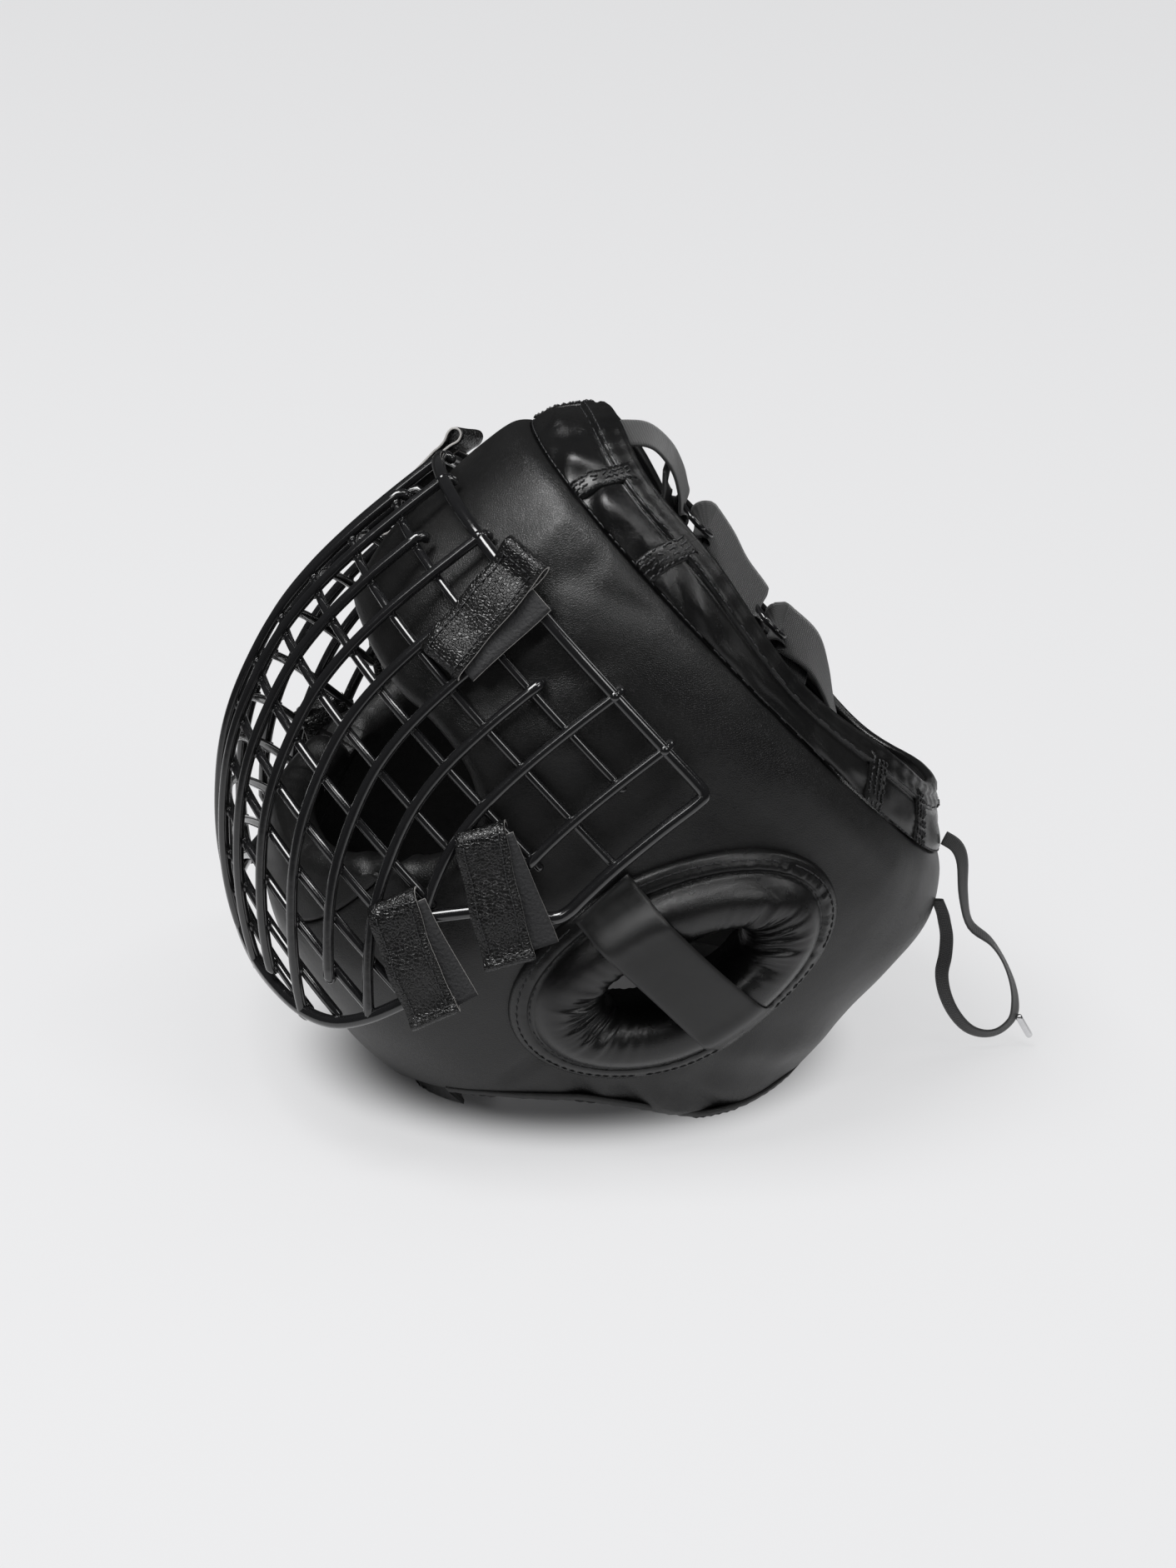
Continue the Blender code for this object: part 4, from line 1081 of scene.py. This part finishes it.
# Wire visor. Steel wires welded in a grid, uprights outside the crossbars, inside a thicker
# frame wire, dipped in glossy black coating that pools in small beads at every weld.
CAGE_PITCH = 23.0
# Height and depth of each row of the mesh, and side and depth of each column.
CAGE_ROWS = (
    (63.0, -196.0), (38.0, -198.0), (13.0, -199.0), (-11.0, -198.0), (-34.0, -194.0), (-56.0, -186.0),
    (-76.0, -176.0), (-93.0, -164.0), (-109.0, -149.0), (-123.0, -133.0), (-134.0, -117.0),
    (-143.0, -100.0), (-150.0, -82.0),
)
CAGE_COLUMNS = (
    (0.0, 0.0), (23.0, 3.0), (43.5, 11.0), (61.5, 24.0), (76.5, 41.0), (88.0, 61.0), (97.0, 82.5),
    (107.0, 112.0), (114.5, 138.0),
)
# Column, top row and bottom row of each upright; row and last column of each crossbar.
UPRIGHTS = (
    (0, 0.9, 11.9), (1, 1.9, 12.0), (2, 0.9, 11.0), (3, 1.9, 11.0), (4, 0.9, 9.15), (5, 1.9, 9.0),
    (6, 0.9, 8.0), (7, 0.9, 4.05),
)
CROSSBARS = (
    (2, 7.1), (3, 8.0), (4, 7.15), (5, 6.0), (6, 6.1), (7, 6.0), (8, 5.9), (9, 5.0), (10, 4.0), (11, 3.0),
)
BOTTOM_FRAME = ((0, 12.0), (1, 11.9), (2, 11.5), (3, 10.95), (4, 10.1), (5, 9.05), (6, 7.9))
SIDE_FRAME = (
    (7.0, 1.0), (7.6, 1.0), (7.9, 1.06), (8.0, 1.3), (8.0, 2.0), (8.0, 3.0), (8.0, 3.75), (7.97, 4.12),
    (7.8, 4.42), (7.45, 4.72), (7.0, 5.1), (6.5, 5.7), (6.0, 6.3),
)
# Distance out from the mesh, and radius, of each kind of wire.
UPRIGHT_WIRE = (0.4, 2.45)
CROSS_WIRE = (-3.1, 2.05)
FRAME_WIRE = (0.0, 2.9)


def through(points, at):
    """Smooth reading of evenly numbered points at a fractional number."""
    i = min(max(int(math.floor(at)), 0), len(points) - 2)
    t = at - i
    four = [points[min(max(i + k, 0), len(points) - 1)] for k in (-1, 0, 1, 2)]
    result = []
    for a, b, d, e in zip(*four):
        result.append(0.5 * (2 * b + (d - a) * t + (2 * a - 5 * b + 4 * d - e) * t * t
                             + (3 * b - a - 3 * d + e) * t * t * t))
    return result


def cage_surface(column, row):
    side = -1.0 if column < 0 else 1.0
    k = min(abs(column), 8.0)
    if k < 1.0:
        x = CAGE_PITCH * k
        y = 3.0 * k * k
    else:
        x, y = through(CAGE_COLUMNS, k)
    z, depth = through(CAGE_ROWS, row - 1.0)
    low = max(0.0, -10.0 - z) / 124.0
    grow = 1.0 + 0.22 * low * low
    return Vector((side * x * grow, depth + y * grow, z))


def cage_point(column, row, outward):
    point = cage_surface(column, row)
    ahead = cage_surface(column + 0.2, row) - cage_surface(column - 0.2, row)
    down = cage_surface(column, min(row + 0.2, 12.9)) - cage_surface(column, max(row - 0.2, 1.0))
    normal = ahead.cross(down).normalized()
    if normal.dot(Vector((point.x, point.y + 60.0, 0.0))) < 0.0:
        normal = -normal
    return point + normal * outward


def cage_outward(column, row):
    return (cage_point(column, row, 1.0) - cage_point(column, row, 0.0)).normalized()


def bead(centre, radius, flat, axis):
    """Small rounded drop of coating, flattened along axis."""
    verts = []
    faces = []
    u = axis.orthogonal().normalized()
    v = axis.cross(u).normalized()
    rings = 5
    around = 10
    for r in range(1, rings):
        a = math.pi * r / rings
        for k in range(around):
            b = 2.0 * math.pi * k / around
            verts.append(centre + axis * (flat * math.cos(a))
                         + (u * math.cos(b) + v * math.sin(b)) * (radius * math.sin(a)))
    verts.append(centre + axis * flat)
    verts.append(centre - axis * flat)
    for r in range(rings - 2):
        for k in range(around):
            m = (k + 1) % around
            faces.append((r * around + k, r * around + m, (r + 1) * around + m, (r + 1) * around + k))
    top = len(verts) - 2
    for k in range(around):
        m = (k + 1) % around
        faces.append((top, m, k))
        faces.append((top + 1, (rings - 2) * around + k, (rings - 2) * around + m))
    return verts, faces


wire_parts = []
for column, top_row, bottom_row in UPRIGHTS:
    for side in ((1.0,) if column == 0 else (1.0, -1.0)):
        at = side * column
        steps = int((bottom_row - top_row) * 7)
        line = [cage_point(at, max(1.0, top_row + (bottom_row - top_row) * s / steps), UPRIGHT_WIRE[0])
                for s in range(steps + 1)]
        over = cage_point(at, 1.0, UPRIGHT_WIRE[0]) - cage_point(at, 1.5, UPRIGHT_WIRE[0])
        over.normalize()
        inward = cage_point(at, 1.5, 0.0) - cage_point(at, 1.5, 1.0)
        line = [line[0] + over * 3.0 + inward * 3.4, line[0] + over * 2.2 + inward * 1.2] + line
        bend = (line[-1] - line[-2]).normalized()
        tip_inward = cage_point(at, bottom_row - 0.4, 0.0) - cage_point(at, bottom_row - 0.4, 1.0)
        line = line + [line[-1] + bend * 1.6 + tip_inward * 1.2]
        wire_parts.append(tube(line, UPRIGHT_WIRE[1], 12))
for row, last in CROSSBARS:
    steps = int(last * 2 * 6)
    line = [cage_point(-last + 2.0 * last * s / steps, row, CROSS_WIRE[0]) for s in range(steps + 1)]
    wire_parts.append(tube(line, CROSS_WIRE[1], 10))
    for column, top_row, bottom_row in UPRIGHTS:
        if column < last - 0.05 and top_row - 0.2 < row < bottom_row + 0.2:
            for side in ((1.0,) if column == 0 else (1.0, -1.0)):
                weld = cage_point(side * column, row, -1.4)
                wire_parts.append(bead(weld, 2.9, 1.7, cage_outward(side * column, row)))
frame_line = [(-c, r) for c, r in reversed(SIDE_FRAME)] + [(c, 1.0) for c in range(-6, 7)]
frame_line += list(SIDE_FRAME)
frame_points = rounded([tuple(cage_point(c, r, FRAME_WIRE[0])) for c, r in frame_line], 5)
wire_parts.append(tube(frame_points, FRAME_WIRE[1], 14))
bottom_line = [(-c, r) for c, r in reversed(BOTTOM_FRAME[1:])] + list(BOTTOM_FRAME)
bottom_points = rounded([tuple(cage_point(c, r, FRAME_WIRE[0])) for c, r in bottom_line], 6)
wire_parts.append(tube(bottom_points, FRAME_WIRE[1], 14))
for column, top_row, bottom_row in UPRIGHTS:
    for side in ((1.0,) if column == 0 else (1.0, -1.0)):
        if top_row < 1.0:
            weld = cage_point(side * column, 1.0, 0.6)
            wire_parts.append(bead(weld, 3.0, 2.9, cage_outward(side * column, 1.2)))
coated_wire = plain_finish("coated_wire", (0.006, 0.006, 0.0065), 0.16, coat=0.8,
                           bump_scale=260.0, bump_depth=0.0002)
wire_verts, wire_faces = gathered(wire_parts)
visor = new_piece("wire_visor_welded", wire_verts, wire_faces, coated_wire)
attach(visor, "root")
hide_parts("wire_visor")


# Closure tabs. Each is a leather strap that comes out through a window of the wires, folds
# back over the outer wires and closes on itself with hook and loop; its free end curls up.
def strip(path, across, widths, thickness, crown=0.0, cuts=9):
    """Strap along head points; returns vertices, faces, and which faces are its cut edges."""
    verts = []
    faces = []
    marks = []
    where = []
    travelled = 0.0
    for i, point in enumerate(path):
        if i:
            travelled += (path[i] - path[i - 1]).length
        tangent = (path[min(i + 1, len(path) - 1)] - path[max(i - 1, 0)]).normalized()
        side = across[i] - tangent * across[i].dot(tangent)
        side.normalize()
        normal = tangent.cross(side).normalized()
        ring = []
        for k in range(cuts):
            v = k / (cuts - 1) - 0.5
            soft = thickness * 0.5 * (1.0 - 0.35 * (2.0 * abs(v)) ** 12)
            lift = normal * (soft + crown * (1.0 - 4.0 * v * v))
            ring.append((point + side * (widths[i] * v) + lift, v * widths[i]))
        for k in reversed(range(cuts)):
            v = k / (cuts - 1) - 0.5
            soft = thickness * 0.5 * (1.0 - 0.35 * (2.0 * abs(v)) ** 12)
            lift = normal * (soft - crown * (1.0 - 4.0 * v * v))
            ring.append((point + side * (widths[i] * v) - lift, v * widths[i]))
        verts += [p for p, _ in ring]
        where += [(travelled, v) for _, v in ring]
    around = 2 * cuts
    for i in range(len(path) - 1):
        for k in range(around):
            m = (k + 1) % around
            faces.append((i * around + k, i * around + m, (i + 1) * around + m, (i + 1) * around + k))
            marks.append(1 if k in (cuts - 1, around - 1) else 0)
    last = (len(path) - 1) * around
    for k in range(cuts - 1):
        faces.append((k, around - 1 - k, around - 2 - k, k + 1))
        faces.append((last + k, last + k + 1, last + around - 2 - k, last + around - 1 - k))
        marks += [1, 1]
    return verts, faces, marks, where


def strap_piece(name, body, materials):
    """Object from a strip, its cut edges in the last material, with its weave map in metres."""
    verts, faces, marks, where = body
    piece = new_piece(name, verts, faces, materials[0])
    for extra in materials[1:]:
        piece.data.materials.append(extra)
    weave = piece.data.uv_layers.new(name="weave")
    for polygon, mark in zip(piece.data.polygons, marks):
        polygon.material_index = min(mark, len(materials) - 1)
        for loop in polygon.loop_indices:
            s, v = where[piece.data.loops[loop].vertex_index]
            weave.data[loop].uv = (s * MM, v * MM)
    return piece


tab_leather = leather_finish("tab_leather", 0.006, 0.17, 0.3, 1.5, 0.30)
cut_edge = plain_finish("leather_cut_edge", (0.3, 0.29, 0.28), 0.6)
hook_felt = plain_finish("hook_and_loop", (0.016, 0.016, 0.017), 0.8, bump_scale=700.0,
                         bump_depth=0.0016)
# Name, then column and row of the fold, of the free end, and of the under strap's two ends, and
# how far the free end curls up.
TABS = (
    ("top", (3.55, 2.7), (3.1, 0.75), (3.75, 2.6), (3.6, 0.8), 1.0),
    ("middle", (6.25, 4.35), (7.4, 5.5), (6.35, 4.3), (7.75, 5.1), 0.55),
    ("bottom", (5.4, 6.55), (6.45, 7.55), (5.55, 6.45), (6.8, 7.1), 0.55),
)
TAB_WIDTH = 22.0
TAB_THICKNESS = 1.5
STITCH_FROM_EDGE = 3.4
POINTS_PER_STEP = 3
# Steps along and out from the fold, and along and out from the free end.
FOLD_BEND = ((-11.0, -6.6), (-6.0, -7.4), (-1.0, -6.6), (2.6, -3.6), (3.6, 0.4), (2.8, 3.9), (0.4, 6.0))
END_CURL = ((0.0, 7.0), (3.0, 8.4), (6.0, 8.6), (8.0, 6.6), (7.6, 4.0), (4.6, 2.6), (0.5, 3.4), (-6.0, 4.0))


def beyond_cage(column, row, outward):
    if row >= 1.0:
        return cage_point(column, row, outward)
    edge = cage_point(column, 1.0, outward)
    return edge + (edge - cage_point(column, 1.5, outward)) * ((1.0 - row) / 0.5)


for label, fold_at, end_at, under_from, under_to, curl in TABS:
    fold_column, fold_row = fold_at
    end_column, end_row = end_at
    for side, side_name in ((1.0, "left"), (-1.0, "right")):
        grounds = []
        for step in range(13):
            share = step / 12.0
            column = side * (fold_column + share * (end_column - fold_column))
            row = fold_row + share * (end_row - fold_row)
            ground = beyond_cage(column, row, 0.0)
            grounds.append((ground, (beyond_cage(column, row, 1.0) - ground).normalized()))
        along_start = (grounds[0][0] - grounds[1][0]).normalized()
        along_end = (grounds[-1][0] - grounds[-2][0]).normalized()
        start, start_normal = grounds[0]
        end, end_normal = grounds[-1]
        flap = []
        for s, n in FOLD_BEND:
            flap.append(start + along_start * s + start_normal * n)
        for i in range(1, 12):
            ground, normal = grounds[i]
            flap.append(ground + normal * (6.2 + 0.5 * math.sin(i * 0.9 + side)))
        for s, n in END_CURL:
            flap.append(end + along_end * (s * curl) + end_normal * (4.0 + (n - 4.0) * (0.5 + 0.5 * curl)))
        path = [Vector(p) for p in rounded([tuple(p) for p in flap], POINTS_PER_STEP)]
        across_all = [along_end.cross(end_normal).normalized()] * len(path)
        widths = []
        for i in range(len(path)):
            near_end = min(i, len(path) - 1 - i)
            widths.append(TAB_WIDTH - 3.0 * max(0.0, 1.0 - near_end / 3.0) ** 2 + 0.5 * math.sin(i * 0.35))
        body = strip(path, across_all, widths, TAB_THICKNESS, 0.25)
        under = []
        for step in range(13):
            share = step / 12.0
            column = side * (under_from[0] + share * (under_to[0] - under_from[0]))
            row = under_from[1] + share * (under_to[1] - under_from[1])
            under.append(tuple(beyond_cage(column, row, 3.7 + 0.5 * math.sin(share * 5.0 + side))))
        under = [Vector(p) for p in rounded(under, 2)]
        middle_normal = grounds[6][1]
        under_side = (under[-1] - under[0]).normalized().cross(middle_normal).normalized()
        under_body = strip(under, [under_side] * len(under), [TAB_WIDTH + 1.0] * len(under), 1.3, 0.0)
        tab = strap_piece("tab_%s_%s_leather" % (label, side_name), body, (tab_leather, cut_edge))
        under_tab = strap_piece("tab_%s_%s_hook_side" % (label, side_name), under_body,
                                (hook_felt, cut_edge))
        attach(under_tab, "root")
        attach(tab, "root")
        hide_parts("tab_%s_%s" % (label, side_name))
        tab_parts = []
        flat_start = 5 * POINTS_PER_STEP
        flat_end = 19 * POINTS_PER_STEP
        for edge in (-1.0, 1.0):
            line = []
            facing = []
            for i in range(flat_start, flat_end + 1):
                tangent = (path[min(i + 1, len(path) - 1)] - path[i - 1]).normalized()
                across = (across_all[i] - tangent * across_all[i].dot(tangent)).normalized()
                normal = tangent.cross(across).normalized()
                if normal.dot(middle_normal) < 0.0:
                    normal = -normal
                from_middle = widths[i] * 0.5 - STITCH_FROM_EDGE
                line.append(path[i] + across * (edge * from_middle) + normal * 0.85)
                facing.append(normal)
            fine = []
            fine_facing = []
            for i in range(len(line) - 1):
                for k in range(6):
                    fine.append(line[i].lerp(line[i + 1], k / 6.0))
                    fine_facing.append(facing[i])
            tab_parts += stitch_row(fine, fine_facing, 2.2, 1.3, 0.33, 0.2)
        for i in (flat_start + 3, flat_end - 2):
            tangent = (path[i + 1] - path[i - 1]).normalized()
            across = (across_all[i] - tangent * across_all[i].dot(tangent)).normalized()
            normal = tangent.cross(across).normalized()
            if normal.dot(middle_normal) < 0.0:
                normal = -normal
            line = [path[i] + across * (-7.6 + 15.2 * k / 40.0) + normal * 1.05 for k in range(41)]
            tab_parts += stitch_row(line, [normal] * 41, 2.2, 1.3, 0.33, 0.2)
        thread_piece("tab_%s_%s_stitches" % (label, side_name), tab_parts)


# Crown straps. Three lengths of ribbed elastic webbing in line over the crown, looped round
# two wire rings and sewn to the hem at the brow and at the back.
def webbing_finish(name, tone, rib_mm, rough):
    mat = bpy.data.materials.new(name)
    mat.use_nodes = True
    tree = mat.node_tree
    shader = tree.nodes["Principled BSDF"]
    weave = tree.nodes.new("ShaderNodeUVMap")
    weave.uv_map = "weave"
    ribs = tree.nodes.new("ShaderNodeTexWave")
    ribs.bands_direction = "X"
    ribs.inputs["Scale"].default_value = 314.0 / rib_mm
    ribs.inputs["Distortion"].default_value = 0.4
    tree.links.new(weave.outputs["UV"], ribs.inputs["Vector"])
    warp = tree.nodes.new("ShaderNodeTexWave")
    warp.bands_direction = "Y"
    warp.inputs["Scale"].default_value = 314.0 / (rib_mm * 0.8)
    warp.inputs["Distortion"].default_value = 0.6
    tree.links.new(weave.outputs["UV"], warp.inputs["Vector"])
    both = tree.nodes.new("ShaderNodeMath")
    both.operation = "MULTIPLY"
    tree.links.new(ribs.outputs["Fac"], both.inputs[0])
    tree.links.new(warp.outputs["Fac"], both.inputs[1])
    ramp = tree.nodes.new("ShaderNodeValToRGB")
    ramp.color_ramp.elements[0].color = (tone * 0.35, tone * 0.35, tone * 0.36, 1.0)
    ramp.color_ramp.elements[1].color = (tone * 1.3, tone * 1.3, tone * 1.32, 1.0)
    ramp.color_ramp.elements[1].position = 0.7
    tree.links.new(both.outputs["Value"], ramp.inputs["Fac"])
    tree.links.new(ramp.outputs["Color"], shader.inputs["Base Color"])
    bump = tree.nodes.new("ShaderNodeBump")
    bump.inputs["Strength"].default_value = 0.7
    bump.inputs["Distance"].default_value = 0.00035
    tree.links.new(both.outputs["Value"], bump.inputs["Height"])
    tree.links.new(bump.outputs["Normal"], shader.inputs["Normal"])
    shader.inputs["Roughness"].default_value = rough
    shader.inputs["Sheen Weight"].default_value = 0.25
    return mat


elastic_webbing = webbing_finish("elastic_webbing", 0.016, 1.1, 0.7)
STRAP_WIDTH = 25.0
STRAP_ROLL = {"front": 26.0, "middle": 34.0, "rear": 40.0}
# Depth and height along each length, and whether its front and rear ends loop round a ring.
CROWN_STRAPS = (
    ("front",
     ((-167, 112), (-161, 124), (-154, 134), (-145, 140), (-132, 140), (-121, 136), (-112.5, 130.6)),
     (False, True)),
    ("middle", ((-93.3, 130.4), (-80, 128), (-66, 124), (-51.5, 122)), (True, True)),
    ("rear", ((-32.2, 122), (-14.9, 123.6), (2, 118), (22, 108), (42, 103), (60, 104), (74.4, 108.5)),
     (True, False)),
)
# Steps along and up from the end of a length that loops round a ring.
RING_BEND = ((3.0, -0.6), (4.4, -4.0), (2.0, -7.6), (-4.0, -8.4), (-12.0, -6.2), (-20.0, -4.6))


def ring_loop(end, before):
    """Points by which a length that runs from before to end goes round a ring and back."""
    ahead = (end - before).normalized()
    up = Vector((0.0, -ahead.z, ahead.y))
    if up.z < 0.0:
        up = -up
    return [end + ahead * s + up * n for s, n in RING_BEND]


for label, path_yz, looped in CROWN_STRAPS:
    points = [Vector((0.0, y, z)) for y, z in path_yz]
    front_loop = ring_loop(points[0], points[1]) if looped[0] else []
    rear_loop = ring_loop(points[-1], points[-2]) if looped[1] else []
    points = list(reversed(front_loop)) + points + rear_loop
    path = [Vector(p) for p in rounded([tuple(p) for p in points], 6)]
    across_all = []
    for i in range(len(path)):
        share = i / (len(path) - 1.0)
        held_end = (1.0 - share) if label == "front" else (share if label == "rear" else 0.0)
        roll = math.radians(STRAP_ROLL[label] * (1.0 - 0.85 * max(0.0, min(1.0, (held_end - 0.5) / 0.3))))
        across_all.append(Vector((math.cos(roll), 0.0, -math.sin(roll))))
    body = strip(path, across_all, [STRAP_WIDTH] * len(path), 1.6, 0.15, 13)
    webbing = strap_piece("crown_strap_%s_elastic" % label, body, (elastic_webbing,))
    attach(webbing, "root")
    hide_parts("crown_strap_" + label)


# Crown rings. Two flattened loops of coated steel wire that join the three lengths of elastic
# over the crown.
RING_HALF_WIDTH = 10.4 * 1.3
RING_HALF_LENGTH = 8.8
for label, y, z in (("front", -102.9, 130.4), ("rear", -41.9, 121.9)):
    line = []
    for k in range(49):
        a = 2.0 * math.pi * k / 48.0
        squared = abs(math.cos(a)) ** 0.6 * math.copysign(1.0, math.cos(a))
        line.append(Vector((RING_HALF_WIDTH * squared, y + RING_HALF_LENGTH * math.sin(a), z - 1.5)))
    ring_verts, ring_faces = tube(line, 1.4, 12, ends_rounded=False)
    ring = new_piece("crown_ring_%s_wire" % label, ring_verts, ring_faces, coated_wire)
    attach(ring, "root")
    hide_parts("crown_ring_" + label)


# Lace. A flat woven lace that comes out of the back of the hem, hangs in one loop behind the
# gear and goes back in under the hem; its pinched metal tip stands off the loop's low end.
lace_weave = webbing_finish("lace_weave", 0.02, 0.9, 0.6)
LACE_SIDE = 38.0
LACE_WIDTH = 6.4
LACE_PATH = (
    (79.5, 111.3), (87, 112.5), (95, 109.5), (108, 99.5), (122, 92), (136, 93), (148, 91), (160, 86.5),
    (169, 81), (174.5, 75), (175, 67), (171, 61), (163, 57.5), (152, 58), (141, 61.5), (132, 67),
    (126, 74), (119, 80.5), (112.5, 84.5), (107.8, 87), (101.0, 89.5),
)
lace_line = [Vector(p) for p in rounded([(LACE_SIDE, y, z) for y, z in LACE_PATH], 5)]
lace_across = []
for i in range(len(lace_line)):
    share = i / (len(lace_line) - 1.0)
    tangent = (lace_line[min(i + 1, len(lace_line) - 1)] - lace_line[max(i - 1, 0)]).normalized()
    flat = tangent.cross(Vector((1.0, 0.0, 0.0))).normalized()
    twist = math.radians(20.0 + 50.0 * math.sin(math.pi * min(1.0, share / 0.55)) ** 4 + 25.0 * share)
    lace_across.append(flat * math.cos(twist) + Vector((1.0, 0.0, 0.0)) * math.sin(twist))
lace_body = strip(lace_line, lace_across, [LACE_WIDTH] * len(lace_line), 1.0, 0.1, 7)
lace = strap_piece("lace_woven", lace_body, (lace_weave,))

tip_line = [Vector((LACE_SIDE, 176.5 + 10.5 * k / 12.0, 77.4 - 2.4 * k / 12.0)) for k in range(13)]
tip_verts, tip_faces = tube(tip_line, 1.6, 14)
bright_metal = plain_finish("bright_tip", (0.7, 0.7, 0.71), 0.22, 1.0)
lace_tip = new_piece("lace_tip_metal", tip_verts, tip_faces, bright_metal)
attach(lace_tip, "root")
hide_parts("lace_tip")
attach(lace, "root")
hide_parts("lace")


# Floor and light. A plain pale grey floor under wide soft boxes, as in a product studio. It
# gives off some light itself, but not under the gear, where the missing glow is a painted shadow,
# and it looks dark in far reflections, which is a painted reflection.
bpy.ops.object.select_all(action="DESELECT")
bpy.ops.mesh.primitive_plane_add(size=16.0, location=(0.0, 0.0, 0.0))
floor = bpy.context.object
floor.name = "studio_floor"
floor_paint = bpy.data.materials.new("studio_floor")
floor_paint.use_nodes = True
paint_tree = floor_paint.node_tree
paint = paint_tree.nodes["Principled BSDF"]
paint.inputs["Base Color"].default_value = (0.15, 0.15, 0.152, 1.0)
paint.inputs["Roughness"].default_value = 0.95
paint.inputs["Specular IOR Level"].default_value = 0.1
paint.inputs["Emission Color"].default_value = (0.99, 0.99, 1.0, 1.0)
where = paint_tree.nodes.new("ShaderNodeTexCoord")
# Painted shadow: the floor's glow drops almost to nothing in an oval under the gear.
under = paint_tree.nodes.new("ShaderNodeVectorMath")
under.operation = "MULTIPLY"
under.inputs[1].default_value = (11.5, 9.0, 0.0)
paint_tree.links.new(where.outputs["Object"], under.inputs[0])
shadow_oval_reach = paint_tree.nodes.new("ShaderNodeVectorMath")
shadow_oval_reach.operation = "LENGTH"
paint_tree.links.new(under.outputs["Vector"], shadow_oval_reach.inputs[0])
glow_with_painted_shadow = paint_tree.nodes.new("ShaderNodeMapRange")
glow_with_painted_shadow.interpolation_type = "SMOOTHSTEP"
glow_with_painted_shadow.inputs["From Min"].default_value = 0.75
glow_with_painted_shadow.inputs["From Max"].default_value = 1.2
glow_with_painted_shadow.inputs["To Min"].default_value = 0.02
glow_with_painted_shadow.inputs["To Max"].default_value = 0.60
paint_tree.links.new(shadow_oval_reach.outputs["Value"], glow_with_painted_shadow.inputs["Value"])
paint_tree.links.new(glow_with_painted_shadow.outputs["Result"], paint.inputs["Emission Strength"])
# Painted reflection: glossy rays see the floor near black from 0.3 to 0.8 m out.
far_painted_reflection = paint_tree.nodes.new("ShaderNodeBsdfDiffuse")
far_painted_reflection.inputs["Color"].default_value = (0.03, 0.03, 0.03, 1.0)
reach = paint_tree.nodes.new("ShaderNodeVectorMath")
reach.operation = "LENGTH"
paint_tree.links.new(where.outputs["Object"], reach.inputs[0])
edge = paint_tree.nodes.new("ShaderNodeMapRange")
edge.inputs["From Min"].default_value = 0.3
edge.inputs["From Max"].default_value = 0.8
paint_tree.links.new(reach.outputs["Value"], edge.inputs["Value"])
ray = paint_tree.nodes.new("ShaderNodeLightPath")
seen = paint_tree.nodes.new("ShaderNodeMath")
seen.operation = "MULTIPLY"
paint_tree.links.new(edge.outputs["Result"], seen.inputs[0])
paint_tree.links.new(ray.outputs["Is Glossy Ray"], seen.inputs[1])
blend = paint_tree.nodes.new("ShaderNodeMixShader")
paint_tree.links.new(seen.outputs["Value"], blend.inputs["Fac"])
paint_tree.links.new(paint.outputs["BSDF"], blend.inputs[1])
paint_tree.links.new(far_painted_reflection.outputs["BSDF"], blend.inputs[2])
paint_tree.links.new(blend.outputs["Shader"], paint_tree.nodes["Material Output"].inputs["Surface"])
floor.data.materials.append(floor_paint)

world = bpy.data.worlds.new("studio_world")
bpy.context.scene.world = world
world.use_nodes = True
backdrop = world.node_tree.nodes["Background"]
backdrop.inputs["Color"].default_value = (0.97, 0.985, 1.0, 1.0)
room = world.node_tree.nodes.new("ShaderNodeLightPath")
dimmed = world.node_tree.nodes.new("ShaderNodeMapRange")
dimmed.inputs["To Min"].default_value = 0.36
dimmed.inputs["To Max"].default_value = 0.05
world.node_tree.links.new(room.outputs["Is Glossy Ray"], dimmed.inputs["Value"])
world.node_tree.links.new(dimmed.outputs["Result"], backdrop.inputs["Strength"])


def soft_box(name, place, target, width, height, watts):
    data = bpy.data.lights.new(name, "AREA")
    data.shape = "RECTANGLE"
    data.size = width
    data.size_y = height
    data.energy = watts
    lamp = bpy.data.objects.new(name, data)
    bpy.context.scene.collection.objects.link(lamp)
    lamp.location = place
    lamp.rotation_euler = (Vector(target) - Vector(place)).to_track_quat("-Z", "Y").to_euler()
    return lamp


fill = soft_box("top_fill", (-0.3, -0.2, 2.6), (-0.3, -0.2, 0.0), 3.4, 3.4, 13.0)
fill.visible_glossy = False
soft_box("top_box", (0.1, -0.9, 2.2), (0.0, -0.1, 0.2), 1.15, 1.15, 52.0)
soft_box("front_box", (1.35, -1.6, 1.9), (0.05, -0.05, 0.2), 0.6, 0.6, 5.0)
soft_box("strip_box", (0.6, 0.3, 2.2), (0.0, 0.0, 0.15), 1.3, 0.16, 9.0)
soft_box("side_box", (1.3, 0.9, 1.5), (0.05, 0.1, 0.2), 0.7, 0.7, 7.0)
soft_box("back_box", (-0.5, 1.7, 1.5), (0.0, 0.05, 0.2), 0.7, 0.7, 5.0)
bpy.context.scene.view_settings.view_transform = "Standard"
